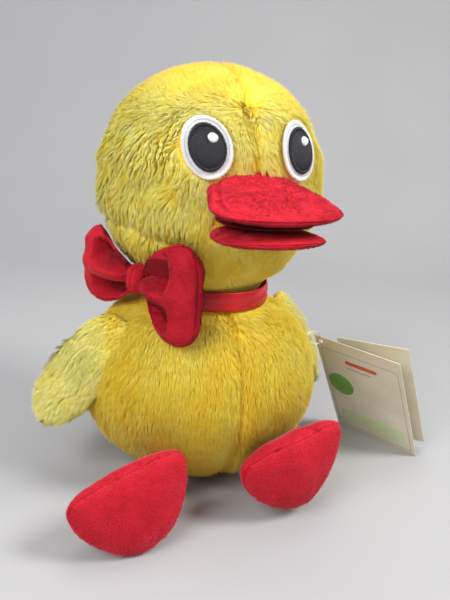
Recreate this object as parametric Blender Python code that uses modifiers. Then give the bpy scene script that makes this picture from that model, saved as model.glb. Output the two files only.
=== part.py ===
"""A seated plush duck, built from its sewn skins, their fillings and its trims.

The duck sits on the plane Z = 0 and faces -Y, and its own right side is at -X. The origin is
the middle of the flat that it sits on. Dimensions are in millimetres and are turned into
metres where the objects are made.
"""
import math

import bmesh
import bpy
from mathutils import Euler, Matrix, Vector

MM = 0.001
GAP = 0.35

# How far a form's subdivision draws it in from its cage, at most.
ROUNDING = 2.4

# A filling is left out where its room would be thinner than this, each side of its middle.
THINNEST_ROOM = 1.2

# The body and the head are swollen rounds that meet at the neck.
NECK_HEIGHT = 134.0
NECK_RADIUS = 41.0
BODY_CENTRE = 66.0
BODY_HALF_WIDTH = 87.0
BODY_HALF_DEPTH = 83.0
BODY_RISE = 76.0
BODY_DROP = 69.0
SEAT_DEPTH = 0.5
SEAT_SHIFT = 8.0
HEAD_CENTRE = 209.0
HEAD_RADIUS = 77.5
HEAD_RISE = 72.0
HEAD_DROP = 81.0
PLUSH = 8.0
SWING_CLEARANCE = 1.6
BAG_BOTTOM = 10.3

# The seams that run over the head and down the body, front and back, between these heights.
SEAM_DEPTH = 3.4
SEAM_HALF_WIDTH = 2.2
HEAD_SEAM = (156.0, 290.0)
BODY_SEAM = (7.0, 126.0)

# The collar ribbon goes round the neck, and the bow is sewn on it at the duck's right.
RIBBON_HEIGHT = 15.0
RIBBON_THICKNESS = 1.0
BOW_HEADING = -160.0
BOW_RADIUS = 57.0
BOW_HEIGHT = 146.0
BOW_LOOP = 60.0
BOW_HALF_HEIGHT_FRONT = 34.0
BOW_HALF_HEIGHT_BACK = 27.5
BOW_HALF_THICKNESS = 13.0
BOW_DROOP_FRONT = 1.0
BOW_DROOP_BACK = -2.0
KNOT_SIZE = (17.0, 19.0, 24.0)

# Wings: the seam at the shoulder, and how far each one leans out from the vertical.
WING_LENGTH = 84.0
WING_HALF_WIDTH = 24.0
WING_HALF_THICKNESS = 9.0
WING_SKIN = 2.6
SHOULDER_RIGHT = (-64.0, -6.0, 114.0)
SHOULDER_LEFT = (64.0, 13.0, 116.0)
WING_LEAN_RIGHT = 36.0
WING_LEAN_LEFT = 31.0
WING_SPIN = 50.0

# Legs and feet. A leg is a short stuffed tube between two round ends, its hip and its ankle.
LEG_RADIUS = 14.5
LEG_WAIST = 12.5
SOCKET_CLEARANCE = 1.0
HIP_RIGHT = (-46.0, -61.0, 20.0)
ANKLE_RIGHT = (-57.0, -71.0, 27.0)
HEEL_RIGHT = (-66.0, -91.0, 1.3)
TOES_RIGHT = (-4.0, -16.0, 8.0)
HIP_LEFT = (30.0, -62.0, 17.0)
ANKLE_LEFT = (35.0, -72.0, 23.0)
HEEL_LEFT = (37.0, -86.0, 9.0)
SPLAYS_LEFT = (0, 10, 20)
TOES_LEFT = (6.0, -12.0, 8.0)
VELOUR = 2.0
FOOT_HALF_WIDTH = 40.0
FOOT_HEIGHT = 57.0
FOOT_HALF_THICKNESS = 18.0

# Bill: a flat spatula of two halves, a little apart at the front.
BILL_ROOT = -60.0
BILL_TIP = -121.0
BILL_HALF_WIDTH = 42.0
MOUTH_HEIGHT = 195.0

# Eyes, seen from the front.
EYE_CENTRE = (29.0, 233.0)
EYE_WHITE = (13.0, 16.5)
EYE_BLACK = (9.5, 12.5)
EYE_GLINT = 2.6
FELT = 1.0

# The card tag leans on the left wing with its lower outer corner on the floor.
TAG_CORNER = (167.0, -54.0, 0.5)
TAG_HEADING = -67.0
TAG_LEAN = 29.0
TAG_WIDTH = 74.0
TAG_HEIGHT = 104.0
TAG_OPENING = 11.0
CARD = 0.6
TAG_HOLE_RADIUS = 2.0
TAG_HOLE_EDGE = 5.0
TAG_NOTCH = (18.0, 11.0)
TAG_LOOP_HALF_LENGTH = 10.6
TAG_LOOP_HALF_WIDTH = 4.5
TAG_LOOP_SLANT = 37.0
TAG_LOOP_WIRE = 0.7


def clear_scene():
    for thing in list(bpy.data.objects):
        bpy.data.objects.remove(thing, do_unlink=True)


def new_collection(name):
    group = bpy.data.collections.new(name)
    bpy.context.scene.collection.children.link(group)
    return group


clear_scene()
DUCK = new_collection("plush_duck")
CUTTERS = new_collection("cutters")


def fabric(name, colour, roughness):
    made = bpy.data.materials.new(name)
    made.use_nodes = True
    shader = made.node_tree.nodes["Principled BSDF"]
    shader.inputs["Base Color"].default_value = (*colour, 1.0)
    shader.inputs["Roughness"].default_value = roughness
    shader.inputs["Metallic"].default_value = 0.0
    return made


YELLOW_PLUSH = fabric("yellow_plush", (0.86, 0.60, 0.03), 0.9)
RED_VELOUR = fabric("red_velour", (0.62, 0.01, 0.03), 0.8)
DARK_VELOUR = fabric("dark_velour", (0.30, 0.005, 0.015), 0.85)
RED_SATIN = fabric("red_satin", (0.65, 0.01, 0.02), 0.3)
WHITE_FELT = fabric("white_felt", (0.85, 0.85, 0.84), 0.85)
BLACK_FELT = fabric("black_felt", (0.01, 0.01, 0.01), 0.7)
FILLING = fabric("polyester_filling", (0.88, 0.88, 0.86), 0.95)
GRANULE_BAG = fabric("granule_bag", (0.75, 0.74, 0.70), 0.8)
CARD_STOCK = fabric("card_stock", (0.72, 0.70, 0.62), 0.7)
CLEAR_PLASTIC = fabric("clear_plastic", (0.80, 0.80, 0.80), 0.3)
LABEL_TAPE = fabric("label_tape", (0.86, 0.86, 0.84), 0.5)


def pivot(name, place):
    """An empty on a joint's axis, which the moving pieces hang from."""
    empty = bpy.data.objects.new(name, None)
    empty.location = Vector(place) * MM
    empty.empty_display_size = 0.02
    DUCK.objects.link(empty)
    return empty


def add_piece(name, mesh, material, place=(0, 0, 0), turn=(0, 0, 0), parent=None):
    piece = bpy.data.objects.new(name, mesh.copy())
    piece.data.name = name
    DUCK.objects.link(piece)
    piece.data.materials.append(material)
    set_place(piece, place, turn, parent)
    return piece


def add_cutter(name, mesh, place=(0, 0, 0), turn=(0, 0, 0)):
    cutter = bpy.data.objects.new(name, mesh)
    CUTTERS.objects.link(cutter)
    cutter.hide_render = True
    cutter.display_type = "WIRE"
    set_place(cutter, place, turn, None)
    return cutter


def set_place(thing, place, turn, parent):
    """Puts a piece at a point of the duck, in millimetres and degrees, under its joint's empty."""
    thing.location = Vector(place) * MM
    thing.rotation_euler = Euler([math.radians(angle) for angle in turn])
    if parent is not None:
        thing.parent = parent
        thing.location -= parent.location


def turn_of(x_axis, z_axis):
    """The rotation, in degrees, that lays a piece's own X and Z along two directions."""
    along = Vector(z_axis).normalized()
    across = Vector(x_axis).normalized()
    matrix = Matrix((across, along.cross(across), along)).transposed()
    return [math.degrees(angle) for angle in matrix.to_euler()]


def sphere_cage(name, stations, segments=12, pleat=0.0, plain=False):
    """A sphere whose rings are moved to the stations, from the far end of its own Z to the near one.

    A station is (distance along Z, half width on X, half depth on Y, shift along Y). Every other
    side of a pleated cage is drawn in, in its depth. A cage is as much wider as one subdivision
    draws its rings in, but a plain one is used as it is, in triangles.
    """
    mesh = bpy.data.meshes.new(name)
    cage = bmesh.new()
    ring_count = len(stations) - 1
    swell = 8.0 / (6.0 + 2.0 * math.cos(2.0 * math.pi / segments))
    if plain:
        swell = 1.0
    bmesh.ops.create_uvsphere(cage, u_segments=segments, v_segments=ring_count, radius=1.0)
    for vertex in cage.verts:
        polar = math.acos(max(-1.0, min(1.0, vertex.co.z)))
        along, half_x, half_y, shift = stations[round(polar / math.pi * ring_count)]
        around = math.atan2(vertex.co.y, vertex.co.x)
        fold = 1.0 + pleat * math.cos(0.5 * segments * around)
        vertex.co.x = half_x * swell * math.cos(around) * MM
        vertex.co.y = (half_y * swell * fold * math.sin(around) + shift) * MM
        vertex.co.z = along * MM
    if plain:
        bmesh.ops.triangulate(cage, faces=cage.faces)
    cage.to_mesh(mesh)
    cage.free()
    mesh.shade_smooth()
    return mesh


def box_mesh(name, low, high):
    mesh = bpy.data.meshes.new(name)
    box = bmesh.new()
    bmesh.ops.create_cube(box, size=1.0)
    for vertex in box.verts:
        for axis in range(3):
            middle = 0.5 * (low[axis] + high[axis])
            vertex.co[axis] = (middle + vertex.co[axis] * (high[axis] - low[axis])) * MM
    box.to_mesh(mesh)
    box.free()
    return mesh


def cylinder_mesh(name, half_x, half_y, length, segments=24):
    mesh = bpy.data.meshes.new(name)
    drum = bmesh.new()
    bmesh.ops.create_cone(
        drum, cap_ends=True, segments=segments, radius1=MM, radius2=MM, depth=length * MM
    )
    for vertex in drum.verts:
        vertex.co.x *= half_x
        vertex.co.y *= half_y
    drum.to_mesh(mesh)
    drum.free()
    return mesh


def subdivide(piece, levels=1):
    smooth = piece.modifiers.new("smooth", "SUBSURF")
    smooth.levels = levels
    smooth.render_levels = levels


def grow(piece, amount):
    """Moves the surface out along its normals, or in where the amount is negative."""
    offset = piece.modifiers.new("offset", "DISPLACE")
    offset.strength = amount * MM
    offset.mid_level = 0.0


def hollow(piece, thickness, offset=-1.0):
    wall = piece.modifiers.new("wall", "SOLIDIFY")
    wall.thickness = thickness * MM
    wall.offset = offset


def combine(piece, cutter, operation="DIFFERENCE"):
    cut = piece.modifiers.new(cutter.name, "BOOLEAN")
    cut.operation = operation
    cut.object = cutter
    cut.solver = "EXACT"


def stuffed_piece(name, cage, material, place=(0, 0, 0), turn=(0, 0, 0), parent=None):
    """A closed soft solid from a cage."""
    piece = add_piece(name, cage, material, place, turn, parent)
    subdivide(piece)
    return piece


def inner_cage(name, stations, depth, segments):
    """The plain room inside a soft form, a depth in from its surface on every side."""
    ends = [stations[0][0] - depth, stations[-1][0] + depth]
    rings = []
    for before, station, after in zip(stations, stations[1:], stations[2:]):
        along, half_x, half_y, shift = station
        rise = min(after[1] - before[1], after[2] - before[2], key=abs)
        slope = math.atan2(rise, before[0] - after[0])
        inside = max(ends[1], min(ends[0], along - depth * math.sin(slope)))
        narrow = min(half_x, half_y) - depth
        if narrow > THINNEST_ROOM:
            rings.append((inside, half_x - depth, half_y - depth, shift))
    first = (ends[0], 0.0, 0.0, rings[0][3])
    last = (ends[1], 0.0, 0.0, rings[-1][3])
    return sphere_cage(name, [first] + rings + [last], segments, plain=True)


def skin_and_filling(
    prefix, stations, material, thickness, place=(0, 0, 0), turn=(0, 0, 0), parent=None, segments=12
):
    """A sewn skin with its room inside, and the filling in that room. A cut opens the skin at a seam."""
    cage = sphere_cage(prefix + "_cage", stations, segments)
    skin = stuffed_piece(prefix + "_skin", cage, material, place, turn, parent)
    depth = thickness + ROUNDING
    room = inner_cage(prefix + "_room", stations, depth, segments)
    combine(skin, add_cutter(prefix + "_room", room, place, turn))
    filling = add_piece(prefix + "_filling", room, FILLING, place, turn, parent)
    grow(filling, -GAP)
    return skin, filling


def grown_cutter(name, cage, amount, place=(0, 0, 0), turn=(0, 0, 0)):
    """A cutter a little larger than a soft form, so that what it cuts stays clear of the form."""
    cutter = add_cutter(name, cage, place, turn)
    subdivide(cutter)
    grow(cutter, amount)
    return cutter


def seam_cutter(name, cage, heights):
    """A groove round a soft form, front and back of it, where its two halves are sewn."""
    low, high = heights
    groove = add_cutter(
        name, box_mesh(name, (-SEAM_HALF_WIDTH, -120, low), (SEAM_HALF_WIDTH, 120, high))
    )
    combine(groove, grown_cutter(name + "_bottom", cage, -SEAM_DEPTH))
    return groove


def arc_rings(centre, reach, half_x, half_y, angles, shift=0.0):
    """Rings of an ellipse above its centre, or below it where the reach is negative."""
    rings = []
    for angle in angles:
        turn = math.radians(angle)
        width = math.cos(turn)
        rings.append((centre + reach * math.sin(turn), half_x * width, half_y * width, shift))
    return rings


def body_stations():
    """The body from its neck down: a round that is flat where it sits."""
    neck = [
        (NECK_HEIGHT + 14.0, 0.0, 0.0, 0.0),
        (NECK_HEIGHT + 14.0, 0.5 * NECK_RADIUS, 0.5 * NECK_RADIUS, 0.0),
        (NECK_HEIGHT + 6.0, NECK_RADIUS, NECK_RADIUS, 0.0),
        (NECK_HEIGHT - 7.0, NECK_RADIUS, NECK_RADIUS, 0.0),
    ]
    upper = arc_rings(BODY_CENTRE, BODY_RISE, BODY_HALF_WIDTH, BODY_HALF_DEPTH, (48, 32, 16, 0))
    lower = arc_rings(BODY_CENTRE, -BODY_DROP, BODY_HALF_WIDTH, BODY_HALF_DEPTH, (18, 36, 54))
    seat_radius = 0.42 * BODY_HALF_WIDTH
    seat = [
        (-SEAT_DEPTH, seat_radius, seat_radius, SEAT_SHIFT),
        (-SEAT_DEPTH, 0.5 * seat_radius, 0.5 * seat_radius, SEAT_SHIFT),
        (-SEAT_DEPTH, 0.0, 0.0, SEAT_SHIFT),
    ]
    return neck + upper + lower + seat


def head_stations():
    """The head from its crown down to the neck, round about the neck's axis so that it can turn."""
    crown = [(HEAD_CENTRE + HEAD_RISE, 0.0, 0.0, 0.0)]
    upper = arc_rings(HEAD_CENTRE, HEAD_RISE, HEAD_RADIUS, HEAD_RADIUS, (72, 54, 36, 18, 0))
    lower = arc_rings(HEAD_CENTRE, -HEAD_DROP, HEAD_RADIUS, HEAD_RADIUS, (16, 32, 47))
    neck = [
        (NECK_HEIGHT + 7.0, NECK_RADIUS, NECK_RADIUS, 0.0),
        (NECK_HEIGHT - 6.0, NECK_RADIUS, NECK_RADIUS, 0.0),
        (NECK_HEIGHT - 14.0, 0.5 * NECK_RADIUS, 0.5 * NECK_RADIUS, 0.0),
        (NECK_HEIGHT - 14.0, 0.0, 0.0, 0.0),
    ]
    return crown + upper + lower + neck


def wing_stations():
    """A flat pad, from its shoulder seam at the top to its round tip."""
    length, half_x, half_y = WING_LENGTH, WING_HALF_THICKNESS, WING_HALF_WIDTH
    stations = [
        (3.0, 0.0, 0.0, 0.0),
        (1.0, 0.50 * half_x, 0.60 * half_y, 0.0),
        (-0.14 * length, 0.90 * half_x, 0.92 * half_y, 0.0),
        (-0.38 * length, half_x, half_y, 0.0),
        (-0.64 * length, half_x, 0.96 * half_y, 0.0),
        (-0.84 * length, 0.85 * half_x, 0.78 * half_y, 0.0),
        (-0.97 * length, 0.55 * half_x, 0.42 * half_y, 0.0),
        (-length, 0.0, 0.0, 0.0),
    ]
    return stations


def foot_stations():
    """A rounded triangle, widest near its toe edge, flat on its sole and full on its instep."""
    height, half_x, half_y = FOOT_HEIGHT, FOOT_HALF_WIDTH, FOOT_HALF_THICKNESS
    stations = []
    for along, wide, thick in (
        (1.00, 0.00, 0.00),
        (0.97, 0.64, 0.36),
        (0.85, 0.98, 0.66),
        (0.64, 1.00, 0.94),
        (0.40, 0.88, 1.00),
        (0.18, 0.68, 0.84),
        (0.03, 0.38, 0.50),
        (0.00, 0.00, 0.00),
    ):
        stations.append((along * height, wide * half_x, thick * half_y, -0.5 * (1.0 - thick) * half_y))
    return stations


def loop_cage(half_x):
    """A bow loop with its pleats, from its full end back to the knot."""
    length, half_y = BOW_LOOP, BOW_HALF_THICKNESS
    stations = [
        (length, 0.0, 0.0, 0.0),
        (0.98 * length, 0.66 * half_x, 0.50 * half_y, 0.0),
        (0.84 * length, 0.98 * half_x, 0.88 * half_y, 0.0),
        (0.58 * length, 1.00 * half_x, half_y, 0.0),
        (0.34 * length, 0.80 * half_x, 0.88 * half_y, 0.0),
        (0.16 * length, 0.42 * half_x, 0.55 * half_y, 0.0),
        (0.12 * length, 0.0, 0.0, 0.0),
    ]
    return sphere_cage("loop_cage", stations, segments=16, pleat=0.22)


def knot_cage():
    half_x, half_y, height = (0.5 * size for size in KNOT_SIZE)
    stations = [
        (height, 0.0, 0.0, 0.0),
        (0.92 * height, 0.70 * half_x, 0.70 * half_y, 0.0),
        (0.50 * height, half_x, half_y, 0.0),
        (-0.50 * height, half_x, half_y, 0.0),
        (-0.92 * height, 0.70 * half_x, 0.70 * half_y, 0.0),
        (-height, 0.0, 0.0, 0.0),
    ]
    return sphere_cage("knot_cage", stations, segments=8)


def bill_stations(rings):
    """A half of the bill, from its tip back to its root, which lies inside the head."""
    reach = BILL_ROOT - BILL_TIP
    stations = []
    for along, wide, half_height, rise in rings:
        stations.append((along * reach, wide * BILL_HALF_WIDTH, half_height, rise))
    return stations


UPPER_BILL_RINGS = (
    (1.00, 0.00, 0.0, 6.0),
    (0.96, 0.55, 3.8, 6.3),
    (0.82, 0.92, 5.5, 7.4),
    (0.60, 0.98, 7.5, 9.2),
    (0.36, 0.84, 10.5, 12.0),
    (0.04, 0.70, 14.0, 15.4),
    (0.00, 0.00, 0.0, 15.4),
)
LOWER_BILL_RINGS = (
    (0.92, 0.00, 0.0, -7.0),
    (0.88, 0.48, 3.4, -7.0),
    (0.72, 0.80, 4.8, -7.4),
    (0.44, 0.80, 6.4, -8.6),
    (0.04, 0.64, 7.4, -9.4),
    (0.00, 0.00, 0.0, -9.4),
)
LINING_RINGS = (
    (0.80, 0.00, 0.0, 0.0),
    (0.74, 0.50, 0.9, 0.0),
    (0.50, 0.72, 1.1, 0.0),
    (0.04, 0.60, 1.1, 0.0),
    (0.00, 0.00, 0.0, 0.0),
)


def make_torso(cage, round_body):
    """The body's skin and what fills it, with the tail and the label at the back."""
    above_neck = add_cutter(
        "above_neck", box_mesh("above_neck", (-60, -60, NECK_HEIGHT - 0.5 * GAP), (60, 60, 160))
    )
    below_seat = add_cutter("below_seat", box_mesh("below_seat", (-90, -90, -20), (90, 90, 0)))
    skin, filling = skin_and_filling("body", body_stations(), YELLOW_PLUSH, PLUSH)
    for piece in (skin, filling):
        combine(piece, above_neck)
    combine(skin, below_seat)
    combine(skin, seam_cutter("body_seam", cage, BODY_SEAM))

    bag_cage = sphere_cage(
        "bag_cage",
        [
            (42.0, 0.0, 0.0, 4.0),
            (40.0, 24.0, 24.0, 4.0),
            (30.0, 42.0, 42.0, 4.0),
            (19.0, 35.0, 35.0, 5.0),
            (BAG_BOTTOM, 18.0, 18.0, 6.0),
            (BAG_BOTTOM, 9.0, 9.0, 6.0),
            (BAG_BOTTOM, 0.0, 0.0, 6.0),
        ],
        segments=10,
    )
    stuffed_piece("granule_bag", bag_cage, GRANULE_BAG)
    round_bag = grown_cutter("round_bag", bag_cage, GAP)
    combine(filling, round_bag)

    tail_cage = sphere_cage(
        "tail_cage",
        [
            (34.0, 0.0, 0.0, 0.0),
            (32.0, 7.0, 5.0, 0.0),
            (22.0, 13.0, 9.0, 0.0),
            (8.0, 18.0, 12.0, 0.0),
            (-10.0, 20.0, 13.0, 0.0),
            (-14.0, 0.0, 0.0, 0.0),
        ],
        segments=8,
    )
    tail = stuffed_piece("tail", tail_cage, YELLOW_PLUSH, (0, 80, 40), (-60, 0, 0))
    combine(tail, round_body)

    label = add_piece(
        "care_label", box_mesh("care_label", (-8, -4, -0.25), (8, 22, 0.25)), LABEL_TAPE,
        (34, 64, 30), (-14, 0, -28),
    )
    combine(label, round_body)


def make_collar(round_body, beside_head):
    """The ribbon round the neck and the bow's two loops and knot."""
    outer = NECK_RADIUS + 1.6 + RIBBON_THICKNESS
    ribbon = add_piece(
        "collar_ribbon",
        cylinder_mesh("collar_ribbon", outer, outer, RIBBON_HEIGHT, segments=32),
        RED_SATIN,
        (0, 0, NECK_HEIGHT),
    )
    bore_radius = outer - RIBBON_THICKNESS
    bore = add_cutter(
        "ribbon_bore",
        cylinder_mesh("ribbon_bore", bore_radius, bore_radius, 2.0 * RIBBON_HEIGHT, segments=32),
        (0, 0, NECK_HEIGHT),
    )
    for cutter in (bore, round_body, beside_head):
        combine(ribbon, cutter)

    heading = math.radians(BOW_HEADING)
    outwards = Vector((math.cos(heading), math.sin(heading), 0.0))
    forwards = Vector((-outwards.y, outwards.x, 0.0))
    centre = outwards * BOW_RADIUS + Vector((0.0, 0.0, BOW_HEIGHT))
    knot_turn = turn_of(forwards, (0, 0, 1))
    knot = stuffed_piece("bow_knot", knot_cage(), RED_VELOUR, centre, knot_turn)
    combine(knot, beside_head)
    round_knot = grown_cutter("round_knot", knot_cage(), GAP, centre, knot_turn)
    for name, direction, half_height, droop in (
        ("bow_front_loop", forwards, BOW_HALF_HEIGHT_FRONT, BOW_DROOP_FRONT),
        ("bow_back_loop", -forwards, BOW_HALF_HEIGHT_BACK, BOW_DROOP_BACK),
    ):
        fall = math.radians(droop)
        along = direction * math.cos(fall) - Vector((0.0, 0.0, math.sin(fall)))
        upwards = direction * math.sin(fall) + Vector((0.0, 0.0, math.cos(fall)))
        turn = turn_of(upwards, along)
        loop = stuffed_piece(name, loop_cage(half_height), RED_VELOUR, centre, turn)
        for cutter in (round_knot, round_body, beside_head):
            combine(loop, cutter)


def make_head(cage, round_head):
    """The head's skin and filling, the eyes and the bill, all on the neck's axis."""
    neck = pivot("neck_axis", (0, 0, NECK_HEIGHT))
    below_neck = add_cutter(
        "below_neck", box_mesh("below_neck", (-60, -60, 100), (60, 60, NECK_HEIGHT + 0.5 * GAP))
    )
    skin, filling = skin_and_filling("head", head_stations(), YELLOW_PLUSH, PLUSH, parent=neck)
    for piece in (skin, filling):
        combine(piece, below_neck)
    combine(skin, seam_cutter("head_seam", cage, HEAD_SEAM))
    for side, suffix in ((-1, "right"), (1, "left")):
        make_eye(cage, neck, side, suffix)
    make_bill(neck, round_head)


def make_eye(cage, neck, side, suffix):
    """Three layers sewn on the head: the white, the black on it, and a small glint."""
    across, height = EYE_CENTRE
    layers = (
        ("eye_white_", WHITE_FELT, EYE_WHITE, (0.0, 0.0), 0),
        ("eye_black_", BLACK_FELT, EYE_BLACK, (0.0, 0.0), 1),
        ("eye_glint_", WHITE_FELT, (EYE_GLINT, EYE_GLINT), (3.0, 5.0), 2),
    )
    for name, material, halves, shift, layer in layers:
        patch = add_piece(name + suffix, cage, material, parent=neck)
        subdivide(patch)
        grow(patch, GAP + layer * (FELT + GAP))
        hollow(patch, FELT, offset=1.0)
        outline = add_cutter(
            name + "outline_" + suffix,
            cylinder_mesh(name + "outline", *halves, 120.0, segments=16),
            (side * across + shift[0], -60.0, height + shift[1]),
            (90, 0, 0),
        )
        combine(patch, outline, "INTERSECT")


def make_bill(neck, round_head):
    place = (0.0, BILL_ROOT, MOUTH_HEIGHT)
    turn = turn_of((1, 0, 0), (0, -1, 0))
    for name, rings in (("upper_bill", UPPER_BILL_RINGS), ("lower_bill", LOWER_BILL_RINGS)):
        stations = bill_stations(rings)
        for piece in skin_and_filling(name, stations, RED_VELOUR, VELOUR, place, turn, neck):
            combine(piece, round_head)
    lining_cage = sphere_cage("lining_cage", bill_stations(LINING_RINGS), segments=8)
    lining = stuffed_piece("mouth_lining", lining_cage, DARK_VELOUR, place, turn, neck)
    combine(lining, round_head)


def make_wing(side, sign, shoulder, lean, beside_body, inside_seams):
    """A wing's skin and filling, hung from the seam at its shoulder, its flat side half to the front."""
    axis = pivot(side + "_shoulder_axis", shoulder)
    fall = math.radians(lean)
    spin = math.radians(WING_SPIN)
    upwards = Vector((-sign * math.sin(fall), 0.0, math.cos(fall)))
    outwards = Vector((sign * math.cos(fall), 0.0, math.sin(fall)))
    facing = outwards * math.cos(spin) + Vector((0.0, -math.sin(spin), 0.0))
    turn = turn_of(facing, upwards)
    for piece in skin_and_filling(
        side + "_wing", wing_stations(), YELLOW_PLUSH, WING_SKIN, shoulder, turn, axis, segments=10
    ):
        combine(piece, inside_seams)
        combine(piece, beside_body)


def make_leg(side, hip, ankle, heel, foot_turn, splays, round_body):
    """A leg between two round ends, and the foot whose back holds the ankle's round end.

    The body is cut round the leg at each of its splays, in degrees about the hip's upright axis.
    """
    hip_axis = pivot(side + "_hip_axis", hip)
    ankle_axis = pivot(side + "_ankle_axis", ankle)
    along = Vector(ankle) - Vector(hip)
    length = along.length
    radius = LEG_RADIUS
    waist = (0.5 * length, LEG_WAIST, LEG_WAIST, 0.0)
    leg_cage = sphere_cage(
        side + "_leg_cage",
        arc_rings(length, radius, radius, radius, (90, 50, 10))
        + [waist]
        + arc_rings(0.0, -radius, radius, radius, (10, 50, 90)),
        segments=10,
    )
    leg_turn = turn_of((along.y, -along.x, 0.0), along)
    stuffed_piece(side + "_leg", leg_cage, RED_VELOUR, hip, leg_turn, hip_axis)
    round_leg = grown_cutter(side + "_round_leg", leg_cage, GAP, hip, leg_turn)

    ball_cage = sphere_cage(
        side + "_ball_cage",
        arc_rings(0.0, radius, radius, radius, (90, 60, 30, 0, -30, -60, -90)),
        segments=10,
    )
    sockets = [grown_cutter(side + "_round_hip", ball_cage, SOCKET_CLEARANCE, hip)]
    for splay in splays:
        aside = along.copy()
        aside.rotate(Euler((0.0, 0.0, math.radians(splay))))
        aside_turn = turn_of((aside.y, -aside.x, 0.0), aside)
        sockets.append(grown_cutter(f"{side}_leg_at_{splay}", leg_cage, GAP, hip, aside_turn))
    for name in ("body_skin", "body_filling"):
        for socket in sockets:
            combine(bpy.data.objects[name], socket)
    round_ankle = grown_cutter(side + "_round_ankle", ball_cage, SOCKET_CLEARANCE, ankle)
    for piece in skin_and_filling(
        side + "_foot", foot_stations(), RED_VELOUR, VELOUR, heel, foot_turn, ankle_axis, segments=10
    ):
        for cutter in (round_ankle, round_leg, round_body):
            combine(piece, cutter)


def make_tag():
    """Two leaves of card, joined down the fold nearest the duck, and the loop they hang from.

    The loop goes through the front leaf. The back leaf is notched, so that it opens past the loop.
    """
    heading = math.radians(TAG_HEADING)
    lean = math.radians(TAG_LEAN)
    across = Vector((math.cos(heading), math.sin(heading), 0.0))
    towards_duck = Vector((across.y, -across.x, 0.0))
    up = towards_duck * math.sin(lean) + Vector((0.0, 0.0, math.cos(lean)))
    away = up.cross(across)
    fold = Vector(TAG_CORNER) - across * TAG_WIDTH
    fold_axis = pivot("fold_axis", fold)
    opening = math.radians(TAG_OPENING)
    back_across = across * math.cos(opening) + away * math.sin(opening)
    hole = fold + across * TAG_HOLE_EDGE + up * (TAG_HEIGHT - TAG_HOLE_EDGE)
    punch = add_cutter(
        "tag_punch",
        cylinder_mesh("tag_punch", TAG_HOLE_RADIUS, TAG_HOLE_RADIUS, 12.0, segments=12),
        hole,
        turn_of(across, away),
    )
    leaf = box_mesh("tag_leaf", (0, -CARD, 0), (TAG_WIDTH, 0, TAG_HEIGHT))
    front = add_piece("tag_front_leaf", leaf, CARD_STOCK, fold, turn_of(across, up), fold_axis)
    combine(front, punch)
    back_place = fold + away * (CARD + GAP)
    back = add_piece(
        "tag_back_leaf", leaf, CARD_STOCK, back_place, turn_of(back_across, up), fold_axis
    )
    notch_mesh = box_mesh(
        "tag_notch",
        (-CARD, -2.0 * CARD, TAG_HEIGHT - TAG_NOTCH[1]),
        (TAG_NOTCH[0], CARD, TAG_HEIGHT + CARD),
    )
    notch = add_cutter("tag_notch", notch_mesh, back_place, turn_of(back_across, up))
    combine(back, notch)

    bpy.ops.mesh.primitive_torus_add(
        major_segments=18,
        minor_segments=5,
        major_radius=TAG_LOOP_HALF_LENGTH * MM,
        minor_radius=TAG_LOOP_WIRE * MM,
    )
    ring = bpy.context.object
    ring.name = "tag_loop"
    ring.data.materials.append(CLEAR_PLASTIC)
    for group in list(ring.users_collection):
        group.objects.unlink(ring)
    DUCK.objects.link(ring)
    ring.data.transform(Matrix.Diagonal((1, TAG_LOOP_HALF_WIDTH / TAG_LOOP_HALF_LENGTH, 1, 1)))
    slant = math.radians(TAG_LOOP_SLANT)
    outward = up * math.cos(slant) - away * math.sin(slant)
    set_place(ring, hole + outward * TAG_LOOP_HALF_LENGTH, turn_of(outward, across), fold_axis)


def main():
    head = sphere_cage("head_cage", head_stations())
    body = sphere_cage("body_cage", body_stations())
    round_head = grown_cutter("round_head", head, GAP)
    round_body = grown_cutter("round_body", body, GAP)
    make_torso(body, round_body)
    make_collar(round_body, grown_cutter("beside_head", head, SWING_CLEARANCE))
    make_head(head, round_head)
    seam = SHOULDER_LEFT[0] + GAP
    inside_seams = add_cutter(
        "inside_seams", box_mesh("inside_seams", (-seam, -60, 60), (seam, 60, 160))
    )
    beside_body = grown_cutter("beside_body", body, SWING_CLEARANCE)
    make_wing("right", -1, SHOULDER_RIGHT, WING_LEAN_RIGHT, beside_body, inside_seams)
    make_wing("left", 1, SHOULDER_LEFT, WING_LEAN_LEFT, beside_body, inside_seams)
    make_leg("right", HIP_RIGHT, ANKLE_RIGHT, HEEL_RIGHT, TOES_RIGHT, (0,), round_body)
    make_leg("left", HIP_LEFT, ANKLE_LEFT, HEEL_LEFT, TOES_LEFT, SPLAYS_LEFT, round_body)
    make_tag()


main()
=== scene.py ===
"""The look of a seated plush duck: long yellow pile, red velour trims, felt eyes and a card tag.

Sizes are in millimetres and are turned into metres where the meshes are made. The duck faces -Y
and its own right side is at -X.
"""
import math

import bmesh
import bpy
import numpy as np
from mathutils import Matrix, Vector
from mathutils.bvhtree import BVHTree
from mathutils.kdtree import KDTree


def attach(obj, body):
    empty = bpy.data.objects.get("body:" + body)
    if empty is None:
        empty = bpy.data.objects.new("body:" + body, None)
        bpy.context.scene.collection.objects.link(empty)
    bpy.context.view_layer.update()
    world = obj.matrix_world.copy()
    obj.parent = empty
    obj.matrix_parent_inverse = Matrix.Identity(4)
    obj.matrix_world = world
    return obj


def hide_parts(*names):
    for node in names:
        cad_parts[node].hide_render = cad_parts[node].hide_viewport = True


MM = 0.001

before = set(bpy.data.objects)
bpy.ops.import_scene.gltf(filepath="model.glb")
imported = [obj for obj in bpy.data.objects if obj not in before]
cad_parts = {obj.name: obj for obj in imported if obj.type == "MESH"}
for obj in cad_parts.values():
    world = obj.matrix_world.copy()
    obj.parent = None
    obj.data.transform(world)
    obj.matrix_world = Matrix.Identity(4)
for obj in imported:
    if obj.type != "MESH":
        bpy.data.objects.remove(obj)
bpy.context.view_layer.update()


# Camera

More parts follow.
